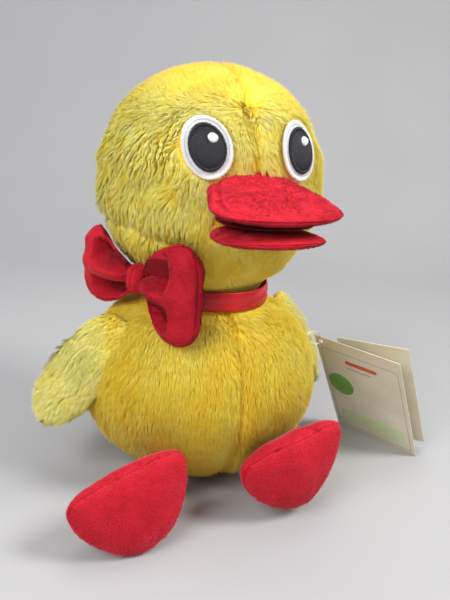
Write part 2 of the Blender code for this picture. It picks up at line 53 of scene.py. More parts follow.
CAMERA_HEADING = -24.0
CAMERA_ELEVATION = 17.0
CAMERA_ROLL = 4.0
CAMERA_LENS = 40.0
CAMERA_PLACE = (-170.1, -419.4, 261.8)


def make_camera():
    heading = math.radians(CAMERA_HEADING)
    rise = math.radians(CAMERA_ELEVATION)
    roll = math.radians(CAMERA_ROLL)
    back = Vector(
        (math.sin(heading) * math.cos(rise), -math.cos(heading) * math.cos(rise), math.sin(rise))
    )
    level = Vector((math.cos(heading), math.sin(heading), 0.0))
    upright = back.cross(level)
    right = level * math.cos(roll) + upright * math.sin(roll)
    top = upright * math.cos(roll) - level * math.sin(roll)
    data = bpy.data.cameras.new("camera")
    data.lens = CAMERA_LENS
    data.sensor_width = 36.0
    data.sensor_height = 36.0
    data.sensor_fit = "VERTICAL"
    camera = bpy.data.objects.new("camera", data)
    matrix = Matrix((right, top, back)).transposed().to_4x4()
    matrix.translation = Vector(CAMERA_PLACE) * MM
    camera.matrix_world = matrix
    bpy.context.scene.collection.objects.link(camera)
    bpy.context.scene.camera = camera


make_camera()


# Materials

def principled(name, colour, roughness, sheen=0.0, sheen_tint=(1.0, 1.0, 1.0), specular=0.3):
    made = bpy.data.materials.new(name)
    made.use_nodes = True
    shader = made.node_tree.nodes["Principled BSDF"]
    shader.inputs["Base Color"].default_value = (*colour, 1.0)
    shader.inputs["Roughness"].default_value = roughness
    shader.inputs["Sheen Weight"].default_value = sheen
    shader.inputs["Sheen Tint"].default_value = (*sheen_tint, 1.0)
    shader.inputs["Sheen Roughness"].default_value = 0.4
    shader.inputs["Specular IOR Level"].default_value = specular
    return made, shader


def add_node(material, kind, **values):
    made = material.node_tree.nodes.new(kind)
    for name, value in values.items():
        if name in made.inputs:
            made.inputs[name].default_value = value
        else:
            setattr(made, name, value)
    return made


def link(material, output, target):
    material.node_tree.links.new(output, target)


def noise_of(material, scale, detail=3.0, stretch=(1.0, 1.0, 1.0)):
    """Noise in the object's own space, which is metres, stretched along its axes."""
    place = add_node(material, "ShaderNodeTexCoord")
    mapping = add_node(material, "ShaderNodeMapping", Scale=stretch)
    noise = add_node(material, "ShaderNodeTexNoise", Scale=scale, Detail=detail)
    link(material, place.outputs["Object"], mapping.inputs["Vector"])
    link(material, mapping.outputs["Vector"], noise.inputs["Vector"])
    return noise.outputs["Fac"]


def vary_roughness(material, shader, low, high, scale=150.0):
    spread = add_node(material, "ShaderNodeMapRange")
    spread.inputs["To Min"].default_value = low
    spread.inputs["To Max"].default_value = high
    link(material, noise_of(material, scale), spread.inputs["Value"])
    link(material, spread.outputs["Result"], shader.inputs["Roughness"])


def bumped(material, shader, height, strength, distance):
    bump = add_node(material, "ShaderNodeBump", Strength=strength, Distance=distance)
    link(material, height, bump.inputs["Height"])
    link(material, bump.outputs["Normal"], shader.inputs["Normal"])


def toned(material, shader, low, high, factor):
    """A colour that runs between two tones with a factor."""
    ramp = add_node(material, "ShaderNodeValToRGB")
    ramp.color_ramp.elements[0].color = (*low, 1.0)
    ramp.color_ramp.elements[0].position = 0.35
    ramp.color_ramp.elements[1].color = (*high, 1.0)
    ramp.color_ramp.elements[1].position = 0.65
    link(material, factor, ramp.inputs["Fac"])
    link(material, ramp.outputs["Color"], shader.inputs["Base Color"])


def strand_material(name, colour, sheen, sheen_tint, clearness=0.0):
    """Pile fibre of one colour. Its gloss changes over a few millimetres, and light seeps through."""
    made, shader = principled(name, colour, 0.6, sheen, sheen_tint)
    shader.inputs["Subsurface Weight"].default_value = clearness
    shader.inputs["Subsurface Radius"].default_value = colour
    shader.inputs["Subsurface Scale"].default_value = 2.0 * MM
    vary_roughness(made, shader, 0.5, 0.8, 400.0)
    return made


PILE_CLEARNESS = 0.12
YELLOW_TINT = (1.0, 0.95, 0.55)
RED_TINT = (1.0, 0.35, 0.42)
YELLOW_STRANDS = [
    strand_material("pile_" + name, colour, sheen, YELLOW_TINT, PILE_CLEARNESS)
    for name, colour, sheen in (
        ("cream", (1.00, 0.91, 0.24), 0.20),
        ("lemon", (1.00, 0.86, 0.15), 0.20),
        ("yellow", (1.00, 0.79, 0.09), 0.20),
        ("straw", (1.00, 0.72, 0.05), 0.15),
        ("gold", (0.98, 0.64, 0.03), 0.12),
        ("amber", (0.94, 0.55, 0.02), 0.10),
    )
]
RED_STRANDS = [
    strand_material("nap_bright", (0.82, 0.018, 0.048), 0.26, RED_TINT),
    strand_material("nap_red", (0.76, 0.014, 0.036), 0.24, RED_TINT),
    strand_material("nap_deep", (0.68, 0.011, 0.028), 0.22, RED_TINT),
]
# Dark red of the mouth's lining, also used as painted shade in the bow's hollows.
LINING_AND_SHADE_STRANDS = [
    strand_material("lining_and_shade_red", (0.40, 0.007, 0.018), 0.15, RED_TINT),
    strand_material("lining_and_shade_deep", (0.22, 0.004, 0.010), 0.10, RED_TINT),
]
# A darker red for the bow, partly painted shade from the head above it.
BOW_SHADE_STRAND = strand_material("nap_bow_shade", (0.54, 0.009, 0.023), 0.20, RED_TINT)
BOW_STRANDS = RED_STRANDS[1:] + [BOW_SHADE_STRAND]


def backing_material(name, low, high, scale):
    """The knitted ground that the pile stands in."""
    made, shader = principled(name, high, 0.9)
    toned(made, shader, low, high, noise_of(made, 90.0))
    bumped(made, shader, noise_of(made, scale, 4.0), 0.6, 0.0006)
    return made


# The knitted ground is real. Its darker, more orange tone is painted shade in the gaps between the
# strands.
YELLOW_GROUND = backing_material("plush_ground", (0.76, 0.46, 0.014), (0.88, 0.60, 0.026), 900.0)
RED_GROUND = backing_material("velour_ground", (0.44, 0.006, 0.017), (0.54, 0.009, 0.026), 1400.0)
# The bill's ground: the same velour made brighter, which is painted light from above.
PAINTED_LIGHT_GROUND = backing_material("bill_painted_light_ground", (0.52, 0.008, 0.022), (0.64, 0.012, 0.032), 1400.0)
# Dark red of the mouth's lining, also used as painted shade in the bow's hollows.
LINING_AND_SHADE_GROUND = backing_material("lining_and_shade_ground", (0.18, 0.003, 0.008), (0.28, 0.005, 0.013), 1400.0)


# Forms

SUBDIVISIONS = 4


def arc_rings(centre, reach, half_x, half_y, angles, shift=0.0):
    """Rings of an ellipse above its centre, or below it where the reach is negative."""
    rings = []
    for angle in angles:
        turn = math.radians(angle)
        width = math.cos(turn)
        rings.append((centre + reach * math.sin(turn), half_x * width, half_y * width, shift))
    return rings


def scaled(shares, length, half_x, half_y):
    """Stations from shares of a length, a half width and a half depth."""
    return [(along * length, wide * half_x, deep * half_y, 0.0) for along, wide, deep in shares]


def turn_of(x_axis, z_axis):
    along = Vector(z_axis).normalized()
    across = Vector(x_axis).normalized()
    return Matrix((across, along.cross(across), along)).transposed()


def turned(degrees_xyz):
    from_z, from_y, from_x = (
        Matrix.Rotation(math.radians(degrees_xyz[axis]), 3, name)
        for axis, name in ((2, "Z"), (1, "Y"), (0, "X"))
    )
    return from_z @ from_y @ from_x


def join_rows(form, rows, segments):
    """Faces between rings of points, where a ring may also be a single point."""
    for upper, lower in zip(rows, rows[1:]):
        for k in range(segments):
            corners = (upper[k % len(upper)], lower[k % len(lower)])
            corners += (lower[(k + 1) % len(lower)], upper[(k + 1) % len(upper)])
            form.faces.new(dict.fromkeys(corners))


def mesh_of(form, name):
    """The mesh of a form built point by point, which is then let go."""
    mesh = bpy.data.meshes.new(name)
    form.to_mesh(mesh)
    form.free()
    return mesh


def sphere_cage(stations, segments, pleat):
    """A sphere with its rings at the stations: along Z, half width, half depth, shift on Y."""
    cage = bmesh.new()
    swell = 8.0 / (6.0 + 2.0 * math.cos(2.0 * math.pi / segments))
    rings = []
    for index, (along, half_x, half_y, shift) in enumerate(stations):
        corners = 1 if index in (0, len(stations) - 1) else segments
        ring = []
        for corner in range(corners):
            around = 2.0 * math.pi * corner / segments
            fold = 1.0 + pleat * math.cos(0.5 * segments * around)
            x = half_x * swell * math.cos(around)
            y = half_y * swell * fold * math.sin(around) + shift
            ring.append(cage.verts.new((x * MM, y * MM, along * MM)))
        rings.append(ring)
    join_rows(cage, rings, segments)
    return mesh_of(cage, "cage")


def add_object(name, mesh, *materials):
    made = bpy.data.objects.new(name, mesh)
    mesh.name = name
    for material in materials:
        mesh.materials.append(material)
    bpy.context.scene.collection.objects.link(made)
    return made


def evaluated_mesh(thing):
    """The object's mesh with its modifiers applied."""
    graph = bpy.context.evaluated_depsgraph_get()
    graph.update()
    return bpy.data.meshes.new_from_object(thing.evaluated_get(graph))


def soft_form(name, stations, place=(0, 0, 0), turn=None, segments=12, pleat=0.0):
    """A smooth closed form in the duck's frame, with its modifiers applied."""
    source = add_object(name + "_cage", sphere_cage(stations, segments, pleat))
    smooth = source.modifiers.new("smooth", "SUBSURF")
    smooth.levels = SUBDIVISIONS
    smooth.render_levels = SUBDIVISIONS
    mesh = evaluated_mesh(source)
    bpy.data.objects.remove(source)
    mesh.transform(turn_matrix(place, turn))
    mesh.shade_smooth()
    return mesh


def turn_matrix(place, turn):
    matrix = turn.to_4x4() if turn is not None else Matrix.Identity(4)
    matrix.translation = Vector(place) * MM
    return matrix


def metres(place):
    return np.array(place) * MM


def in_own_axes(co, place, turn):
    """Points as seen from a form's own place, along its own axes."""
    return (co - metres(place)) @ np.array(turn)


def points_of(mesh):
    co = np.empty(len(mesh.vertices) * 3)
    mesh.vertices.foreach_get("co", co)
    return co.reshape(-1, 3)


def normals_of(mesh):
    mesh.update()
    normal = np.empty(len(mesh.vertices) * 3)
    mesh.vertices.foreach_get("normal", normal)
    return normal.reshape(-1, 3)


def set_points(mesh, co):
    mesh.vertices.foreach_set("co", co.ravel())
    mesh.update()


def moved_out(mesh, amount):
    """Moves each point along its normal by an amount in millimetres, one value or one per point."""
    co = points_of(mesh)
    set_points(mesh, co + normals_of(mesh) * (np.asarray(amount) * MM).reshape(-1, 1))


def unit(vectors):
    return vectors / np.maximum(np.linalg.norm(vectors, axis=1, keepdims=True), 1e-12)


def waves(points, length, seed, count=20):
    """Smooth seeded noise from about -1 to 1, of a wavelength in millimetres."""
    rng = np.random.default_rng(seed)
    heading = unit(rng.normal(size=(count, 3)))
    pitch = 2.0 * math.pi / (length * MM) * rng.uniform(0.6, 1.5, count)
    phase = rng.uniform(0.0, 2.0 * math.pi, count)
    field = np.sin(points @ (heading * pitch[:, None]).T + phase)
    return field.sum(axis=1) / math.sqrt(count)


# Pile

PILE_LEAN = 20.0
STRAND_WIDTH = 0.66
STRAND_FLATNESS = 0.5
STRAND_ROUND = 0.35
CLUMP_REACH = 3.2
STRANDS_IN_A_PART = 49000


def scattered(mesh, per_mm2, rng):
    """Random points of a surface with their normals."""
    mesh.calc_loop_triangles()
    corner = np.empty(len(mesh.loop_triangles) * 3, dtype=np.int64)
    mesh.loop_triangles.foreach_get("vertices", corner)
    corner = corner.reshape(-1, 3)
    co = points_of(mesh)
    normal = normals_of(mesh)
    a, b, c = (co[corner[:, k]] for k in range(3))
    area = 0.5 * np.linalg.norm(np.cross(b - a, c - a), axis=1)
    count = int(area.sum() / MM**2 * per_mm2)
    pick = rng.choice(len(area), count, p=area / area.sum())
    u = np.sqrt(rng.random(count))
    v = rng.random(count)
    weight = np.stack([1.0 - u, u * (1.0 - v), u * v], axis=1)[:, :, None]
    chosen = corner[pick]
    return (co[chosen] * weight).sum(axis=1), unit((normal[chosen] * weight).sum(axis=1))


def along_surface(flow, normal):
    return unit(flow - normal * (flow * normal).sum(axis=1, keepdims=True))


def turned_about(vector, axis, angle):
    """Each vector turned about its own unit axis, to which it is square."""
    cosine, sine = np.cos(angle)[:, None], np.sin(angle)[:, None]
    return vector * cosine + np.cross(axis, vector) * sine


def nearest(points, centres):
    tree = KDTree(len(centres))
    for index, centre in enumerate(centres):
        tree.insert(centre, index)
    tree.balance()
    return np.array([tree.find(point)[1] for point in points], dtype=np.int64)


def nap_mesh(name, root, tip, side, normal, width, tone, materials):
    """Closed straight strands with a flat three-cornered root and a tip, lit as what they grow on."""
    count = len(root)
    along = unit(tip - root)
    raised = STRAND_FLATNESS * np.cross(side, along)
    half = 0.5 * width[:, None]
    co = np.stack([root + side * half, root - side * half, root + raised * half, tip], axis=1)
    co[:, :, 2] = np.maximum(co[:, :, 2], 0.2 * MM)
    pattern = np.array([(0, 2, 1), (0, 1, 3), (1, 2, 3), (2, 0, 3)])
    faces = (pattern[None] + 4 * np.arange(count)[:, None, None]).reshape(-1, 3)
    piece = triangle_mesh(name, co.reshape(-1, 3), faces, np.repeat(tone, len(pattern)), materials)
    lit = [normal + STRAND_ROUND * side, normal - STRAND_ROUND * side, normal, normal + 0.5 * along]
    lit = unit(np.stack(lit, axis=1).reshape(-1, 3))
    piece.data.normals_split_custom_set_from_vertices(lit)
    return piece


def triangle_mesh(name, co, faces, tone, materials):
    mesh = bpy.data.meshes.new(name)
    mesh.vertices.add(len(co))
    mesh.vertices.foreach_set("co", co.ravel())
    mesh.loops.add(faces.size)
    mesh.loops.foreach_set("vertex_index", faces.ravel())
    mesh.polygons.add(len(faces))
    mesh.polygons.foreach_set("loop_start", np.arange(0, faces.size, 3))
    made = add_object(name, mesh, *materials)
    mesh.polygons.foreach_set("material_index", tone.astype(np.int32))
    mesh.update(calc_edges=True)
    return made


def shades(points, clump, crease, seed, count, middle):
    """A tone for each strand, from lightest to darkest, alike in a patch, with painted shade in a crease.
    """
    rng = np.random.default_rng(seed)
    patch = 0.30 * waves(points, 38.0, seed + 1) + 0.18 * waves(points, 9.0, seed + 2)
    own = 0.22 * rng.normal(size=len(points)) + 0.20 * rng.normal(size=clump.max() + 1)[clump]
    level = np.clip(middle + crease + 0.25 * (patch + own), 0.0, 0.999)
    return np.floor(level * count).astype(np.int64)


def long_pile(
    name, mesh, flow_of, body, seed, per_mm2, length, keep, scale_of, ruffle_of, tone_of, loose_of
):
    """Plush strands on a surface, in parts of under 200,000 triangles.

    The ruffle runs from 0, where the pile lies combed, to 1, where it is tousled into clumps. Where it
    is loose, each strand stands up and leans its own way.
    """
    rng = np.random.default_rng(seed)
    root, normal = scattered(mesh, per_mm2, rng)
    kept = keep(root)
    root, normal = root[kept], normal[kept]
    size = scale_of(root)
    ruffle = ruffle_of(root)
    flow = along_surface(flow_of(root, normal), normal)
    swirl = 0.16 * waves(root, 48.0, seed + 11)
    swirl += ruffle * (0.35 * waves(root, 26.0, seed + 16) + 0.30 * waves(root, 12.0, seed + 12))
    loose = loose_of(root)
    swirl += (0.07 + 0.9 * loose) * rng.normal(size=len(root))
    flow = turned_about(flow, normal, swirl)
    wave = (1.5 + 9.0 * ruffle) * waves(root, 17.0, seed + 13)
    lift = np.radians(PILE_LEAN + 8.0 * ruffle + 22.0 * loose + wave + 3.0 * rng.normal(size=len(root)))
    lift = np.clip(lift, 0.10, 1.25)[:, None]
    reach = length * MM * size * np.clip(1.0 + 0.13 * rng.normal(size=len(root)), 0.55, 1.35)
    reach = reach[:, None]
    tip = root + reach * (normal * np.sin(lift) + flow * np.cos(lift))
    lead = rng.choice(len(root), max(8, len(root) // 26), replace=False)
    clump = nearest(root, root[lead])
    pull = (0.12 + 0.45 * ruffle) * (1.0 + 0.4 * waves(root, 20.0, seed + 14))
    pull = np.clip(pull, 0.0, 0.80)[:, None]
    offset = tip[lead][clump] - tip
    far = np.linalg.norm(offset, axis=1, keepdims=True)
    offset *= np.minimum(1.0, CLUMP_REACH * MM / np.maximum(far, 1e-9))
    tip = tip + pull * offset
    side = unit(np.cross(flow, normal))
    width = STRAND_WIDTH * MM * (0.7 + 0.6 * rng.random(len(root)))
    # Painted shade: strands pulled far into a clump are darker, in the creases between clumps.
    crease = 0.30 * ruffle * np.clip(far[:, 0] / (CLUMP_REACH * MM) - 0.4, 0.0, 1.0)
    tone = shades(root, clump, crease, seed + 15, len(YELLOW_STRANDS), tone_of(root))
    around = np.arctan2(root[:, 1] - root[:, 1].mean(), root[:, 0] - root[:, 0].mean())
    strands = (root, tip, side, normal, width, tone)
    in_parts(name + "_pile", np.argsort(around), body, strands, YELLOW_STRANDS)


def in_parts(name, order, body, strands, materials):
    """Strands as one piece, or as several where they are too many for one."""
    parts = math.ceil(len(order) / STRANDS_IN_A_PART)
    for index, chosen in enumerate(np.array_split(order, parts)):
        part_name = f"{name}_{index + 1}" if parts > 1 else name
        piece = nap_mesh(part_name, *(values[chosen] for values in strands), materials)
        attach(piece, body)


# Sizes of the duck's forms, as in its solids

NECK_HEIGHT = 134.0
NECK_RADIUS = 41.0
BODY_CENTRE = 66.0
BODY_HALF_WIDTH = 87.0
BODY_HALF_DEPTH = 83.0
BODY_RISE = 76.0
BODY_DROP = 69.0
SEAT_SHIFT = 8.0
HEAD_CENTRE = 209.0
HEAD_RADIUS = 77.5
HEAD_RISE = 72.0
HEAD_DROP = 81.0
HEAD_GROUND_RADIUS = HEAD_RADIUS - 2.0

SHOULDER_RIGHT = (-64.0, -6.0, 114.0)
SHOULDER_LEFT = (64.0, 13.0, 116.0)
WING_LENGTH = 84.0
WING_HALF_WIDTH = 24.0
WING_HALF_THICKNESS = 9.0
WING_LEAN_RIGHT = 36.0
WING_LEAN_LEFT = 31.0
WING_SPIN = 50.0
ROOT_SPREAD = (3.0, -8.0, 2.0)

LEG_RADIUS = 14.5
LEG_WAIST = 12.5
HIP_RIGHT = (-46.0, -61.0, 20.0)
ANKLE_RIGHT = (-57.0, -71.0, 27.0)
HEEL_RIGHT = (-66.0, -91.0, 1.3)
TOES_RIGHT = (-4.0, -16.0, 8.0)
HIP_LEFT = (30.0, -62.0, 17.0)
ANKLE_LEFT = (35.0, -72.0, 23.0)
HEEL_LEFT = (37.0, -86.0, 9.0)
TOES_LEFT = (6.0, -12.0, 8.0)
FOOT_HALF_WIDTH = 40.0
FOOT_HEIGHT = 57.0
FOOT_HALF_THICKNESS = 18.0

BILL_ROOT = -60.0
BILL_TIP = -121.0
BILL_HALF_WIDTH = 42.0
MOUTH_HEIGHT = 195.0

EYE_CENTRE = (29.0, 233.0)
EYE_WHITE = (13.0, 16.5)
EYE_BLACK = (9.5, 12.5)
EYE_GLINT = 2.6

GROUND_DEPTH = 3.0
WING_GROUND_DEPTH = 2.7
TAIL_GROUND_DEPTH = 2.2
SIDE_FOLD_ANGLE = math.radians(-71.0)


def body_stations():
    neck = [
        (NECK_HEIGHT + 14.0, 0.0, 0.0, 0.0),
        (NECK_HEIGHT + 14.0, 0.5 * NECK_RADIUS, 0.5 * NECK_RADIUS, 0.0),
        (NECK_HEIGHT + 6.0, NECK_RADIUS, NECK_RADIUS, 0.0),
        (NECK_HEIGHT - 7.0, NECK_RADIUS, NECK_RADIUS, 0.0),
    ]
    upper = arc_rings(BODY_CENTRE, BODY_RISE, BODY_HALF_WIDTH, BODY_HALF_DEPTH, (48, 32, 16, 0))
    lower = arc_rings(BODY_CENTRE, -BODY_DROP, BODY_HALF_WIDTH, BODY_HALF_DEPTH, (18, 36, 54))
    radius = 0.42 * BODY_HALF_WIDTH
    seat = [
        (-0.5, radius, radius, SEAT_SHIFT),
        (-0.5, 0.5 * radius, 0.5 * radius, SEAT_SHIFT),
        (-0.5, 0.0, 0.0, SEAT_SHIFT),
    ]
    return neck + upper + lower + seat


def head_stations():
    crown = [(HEAD_CENTRE + HEAD_RISE, 0.0, 0.0, 0.0)]
    upper = arc_rings(HEAD_CENTRE, HEAD_RISE, HEAD_RADIUS, HEAD_RADIUS, (72, 54, 36, 18, 0))
    lower = arc_rings(HEAD_CENTRE, -HEAD_DROP, HEAD_RADIUS, HEAD_RADIUS, (16, 32, 47))
    neck = [
        (NECK_HEIGHT + 7.0, NECK_RADIUS, NECK_RADIUS, 0.0),
        (NECK_HEIGHT - 6.0, NECK_RADIUS, NECK_RADIUS, 0.0),
        (NECK_HEIGHT - 14.0, 0.5 * NECK_RADIUS, 0.5 * NECK_RADIUS, 0.0),
        (NECK_HEIGHT - 14.0, 0.0, 0.0, 0.0),
    ]
    return crown + upper + lower + neck


def wing_stations():
    sewn_end = [
        (3.0, 0.0, 0.0, 0.0),
        (1.0, 0.50 * WING_HALF_THICKNESS, 0.60 * WING_HALF_WIDTH, 0.0),
    ]
    shares = (
        (-0.14, 0.90, 0.92),
        (-0.38, 1.00, 1.00),
        (-0.64, 1.00, 0.96),
        (-0.84, 0.85, 0.78),
        (-0.97, 0.55, 0.42),
        (-1.00, 0.00, 0.00),
    )
    return sewn_end + scaled(shares, WING_LENGTH, WING_HALF_THICKNESS, WING_HALF_WIDTH)


TAIL_STATIONS = [
    (34.0, 0.0, 0.0, 0.0),
    (32.0, 7.0, 5.0, 0.0),
    (22.0, 13.0, 9.0, 0.0),
    (8.0, 18.0, 12.0, 0.0),
    (-10.0, 20.0, 13.0, 0.0),
    (-14.0, 0.0, 0.0, 0.0),
]


def bell(distance, width):
    return np.exp(-((distance / (width * MM)) ** 2))


def ramp(value, low, high):
    """Runs smoothly from 0 at low to 1 at high."""
    t = np.clip((value - low) / (high - low), 0.0, 1.0)
    return t * t * (3.0 - 2.0 * t)


def step(value, low, high):
    """Runs smoothly from 0 at low to 1 at high, both in millimetres."""
    return ramp(value / MM, low, high)


# Body and head

def body_grooves(co):
    """Depths of the seam down the body's front and back, and of a crease low on the right side."""
    x, y, z = co.T
    sides = 2.4 * bell(x, 3.2) * step(z, 4.0, 24.0)
    low = 45.0 * MM + 0.34 * x
    crease = 0.8 * bell(z - low, 5.0) * step(-x, 22.0, 40.0) * (y < 0.0)
    return sides + crease + 1.8 * side_fold(co)


def side_fold(co):
    """How much each point lies in the upright fold of the body below the right wing."""
    x, y, z = co.T
    aside = math.cos(SIDE_FOLD_ANGLE) * x + math.sin(SIDE_FOLD_ANGLE) * y
    return bell(aside, 3.0) * step(z, 12.0, 26.0) * step(-z, -74.0, -56.0) * (x < 0.0)


def head_grooves(co):
    """Depths of the head's seams: over the crown from the bill to the nape, and at each cheek."""
    x, y, z = co.T
    crown = 2.5 * bell(x, 3.0) * step(z, 150.0, 178.0)
    aside = np.abs(x)
    cheek_line = 176.0 * MM + 0.22 * (aside - 46.0 * MM)
    cheek = 1.9 * bell(z - cheek_line, 4.0) * step(aside, 34.0, 48.0) * (y < 0.03)
    nape = 1.2 * bell(z - 200.0 * MM, 4.0) * step(y, 40.0, 55.0)
    return crown + cheek + nape


def ground(name, mesh, material, body, nodes):
    """A padded form in the place of its nodes, with no pile on it yet."""
    piece = add_object(name, mesh, material)
    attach(piece, body)
    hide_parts(*nodes)


def make_body():
    mesh = soft_form("body", body_stations())
    co = points_of(mesh)
    moved_out(mesh, 0.5 * waves(co, 46.0, 21) - GROUND_DEPTH - body_grooves(co))
    co = points_of(mesh)
    co[:, 2] = np.clip(co[:, 2], 1.2 * MM, (NECK_HEIGHT - 0.6) * MM)
    set_points(mesh, co)
    nodes = ["body_skin", "body_filling", "granule_bag"]
    ground("body_plush", mesh, YELLOW_GROUND, "torso", nodes)
    return mesh


def body_flow(root, normal):
    """Down the body, and out from the middle of the flat that it sits on."""
    x, y, z = root.T
    flow = np.stack([0.25 * np.sign(x) * bell(x, 9.0), np.zeros(len(x)), -np.ones(len(x))], axis=1)
    low = 1.0 - step(z, 2.0, 10.0)
    flow[:, 0] += 2.0 * low * x / (60.0 * MM)
    flow[:, 1] += 2.0 * low * y / (60.0 * MM)
    return flow


def body_keep(root):
    x, y, z = root.T
    keep = z < (NECK_HEIGHT - 5.0) * MM
    for hip in (HIP_RIGHT, HIP_LEFT):
        away = np.linalg.norm(root - metres(hip), axis=1)
        keep &= away > (LEG_RADIUS + 2.0) * MM
    return keep


def body_length(root):
    z = root[:, 2]
    seam = 1.0 - 0.35 * bell(root[:, 0], 2.2)
    return seam * (0.55 + 0.45 * step(z, 0.0, 9.0)) * (0.45 + 0.55 * step(132.0 * MM - z, 0.0, 10.0))


def body_ruffle(root):
    """Combed flat, but for the duck's right side under the wing and for the seams."""
    return 0.12 + 0.35 * step(-root[:, 0], 50.0, 75.0) + 0.75 * bell(root[:, 0], 7.0)


def body_tone(root):
    """Deeper gold than the head and wings, which is painted shade on the same fabric; deeper along the
    seams, with painted shade in the fold below the right wing and towards the bottom.
    """
    x, y, z = root.T
    dart = bell(z - (104.0 * MM + 0.10 * x), 2.2) * step(-x, 6.0, 16.0) * step(80.0 * MM + x, 0.0, 12.0)
    # Besides the seam and dart lines, this darkens the fold below the right wing, and the last term
    # darkens the bottom: both painted shade.
    seams = 0.10 * bell(x, 2.6) + 0.14 * dart * (y < 0.0) + 0.25 * side_fold(root)
    return 0.57 + seams + 0.12 * step(-z, -50.0, -12.0)


def make_head_form():
    mesh = soft_form("head", head_stations())
    co = points_of(mesh)
    moved_out(mesh, 0.6 * waves(co, 40.0, 31) - GROUND_DEPTH - head_grooves(co))
    co = points_of(mesh)
    co[:, 2] = np.maximum(co[:, 2], (NECK_HEIGHT + 0.6) * MM)
    set_points(mesh, co)
    ground("head_plush", mesh, YELLOW_GROUND, "head", ["head_skin", "head_filling"])
    return mesh


def head_flow(root, normal):
    """Down, turning aside from the seam high on the forehead, and backwards over the crown."""
    x, y, z = root.T
    turning, over = step(z, 248.0, 264.0), step(z, 254.0, 270.0)
    parting = 3.0 * turning * (1.0 - over) * step(np.abs(x), 1.5, 8.0)
    aside = np.sign(x) * (0.25 * bell(x, 9.0) + parting)
    return np.stack([aside, 2.0 * over, turning - 1.0], axis=1)


def in_eye(root, margin):
    """Which points lie in front of an eye's white, with a margin in millimetres."""
    x, y, z = root.T
    inside = np.zeros(len(x), dtype=bool)
    for side in (-1, 1):
        across = (x / MM - side * EYE_CENTRE[0]) / (EYE_WHITE[0] + margin)
        upward = (z / MM - EYE_CENTRE[1]) / (EYE_WHITE[1] + margin)
        inside |= (across**2 + upward**2 < 1.0) & (y < 0.0)
    return inside


def in_bill(root):
    """Which points of the head lie under the bill's root."""
    x, y, z = root.T
    across = x / MM / (0.70 * BILL_HALF_WIDTH)
    upper = (z / MM - (MOUTH_HEIGHT + 15.4)) / 13.0
    lower = (z / MM - (MOUTH_HEIGHT - 9.4)) / 6.4
    rooted = (across**2 + upper**2 < 1.0) | ((across / 0.92) ** 2 + lower**2 < 1.0)
    between = (np.abs(across) < 0.86) & (np.abs(z / MM - MOUTH_HEIGHT - 1.0) < 6.0)
    return (rooted | between) & (y < 0.0)


def head_keep(root):
    return (root[:, 2] > (NECK_HEIGHT + 5.0) * MM) & ~in_eye(root, 0.4) & ~in_bill(root)


def head_length(root):
    seam = 1.0 - 0.35 * bell(root[:, 0], 2.2)
    size = seam * (0.40 + 0.60 * step(root[:, 2], 140.0, 164.0))
    return np.where(in_eye(root, 5.0), 0.62 * size, size)


def head_ruffle(root):
    """Tousled on the duck's right cheek and temple, combed on the crown and on the left."""
    x, y, z = root.T
    cheek = step(-x, 12.0, 48.0) * step(262.0 * MM - z, 0.0, 30.0) * step(z, 150.0, 170.0)
    return np.clip(0.15 + 0.85 * cheek + 0.7 * bell(x, 6.0) * (y < 0.0), 0.0, 1.0)


def head_tone(root):
    """Paler than the body, which is painted light on the same fabric; deeper along the seam, with painted
    shade on the crown, on the duck's left side and under the bill.
    """
    x, y, z = root.T
    seam = 0.22 * bell(x, 2.6) * step(z, 205.0, 225.0)
    # Painted shade on the crown and on the duck's left side, holding down the lamps' light there.
    crown = 0.34 * step(z, 250.0, 270.0) + 0.14 * step(x, 5.0, 25.0)
    # Painted shade under the bill.
    return 0.20 + seam + crown + 0.22 * step(-z, -190.0, -165.0)


def head_loose(root):
    """Standing up behind the crown, where the pile of the front meets that of the back."""
    x, y, z = root.T
    return step(z, 240.0, 256.0) * step(y, -56.0, -26.0)


def make_wing(side, sign, shoulder, lean):
    fall = math.radians(lean)
    spin = math.radians(WING_SPIN)
    upwards = Vector((-sign * math.sin(fall), 0.0, math.cos(fall)))
    outwards = Vector((sign * math.cos(fall), 0.0, math.sin(fall)))
    facing = outwards * math.cos(spin) + Vector((0.0, -math.sin(spin), 0.0))
    turn = turn_of(facing, upwards)
    mesh = soft_form(side + "_wing", wing_stations(), shoulder, turn)
    co = points_of(mesh)
    local = in_own_axes(co, shoulder, turn)
    if side == "right":
        spread = step(local[:, 2], -62.0, -8.0)[:, None]
        set_points(mesh, co + spread * np.array(ROOT_SPREAD) * MM)
    rim = 1.4 * bell(local[:, 0], 1.8) * step(-local[:, 2], 10.0, 24.0)
    fold = 1.2 * bell(local[:, 2] + 34.0 * MM + 0.35 * local[:, 1], 4.0)
    moved_out(mesh, 0.4 * waves(co, 24.0, 41 + sign) - WING_GROUND_DEPTH - rim - fold)
    nodes = [side + "_wing_skin", side + "_wing_filling"]
    ground(side + "_wing_plush", mesh, YELLOW_GROUND, "wing_" + side, nodes)
    down = -np.array(upwards)
    facing_out = np.array(facing)

    def flow(root, normal):
        aside = np.sign((root - metres(shoulder)) @ facing_out)[:, None]
        return np.tile(down, (len(root), 1)) + 0.25 * aside * facing_out

    def keep(root):
        beyond = sign * root[:, 0] > (abs(shoulder[0]) - 16.0) * MM
        return beyond & outside_body(root, -16.0)

    def length(root):
        return 0.60 + 0.40 * step((root - metres(shoulder)) @ down, 6.0, 26.0)

    # Palest of the pile, which is painted light on the same fabric, with painted shade where the wing
    # meets the body.
    def tone(root):
        return 0.04 + 0.40 * bell(sign * root[:, 0] - 66.0 * MM, 6.0)

    long_pile(
        side + "_wing", mesh, flow, "wing_" + side, 300 + 10 * sign, 3.1, 6.6, keep, length,
        lambda root: 0.65 if sign < 0 else 0.4, tone, lambda root: 0.05,
    )


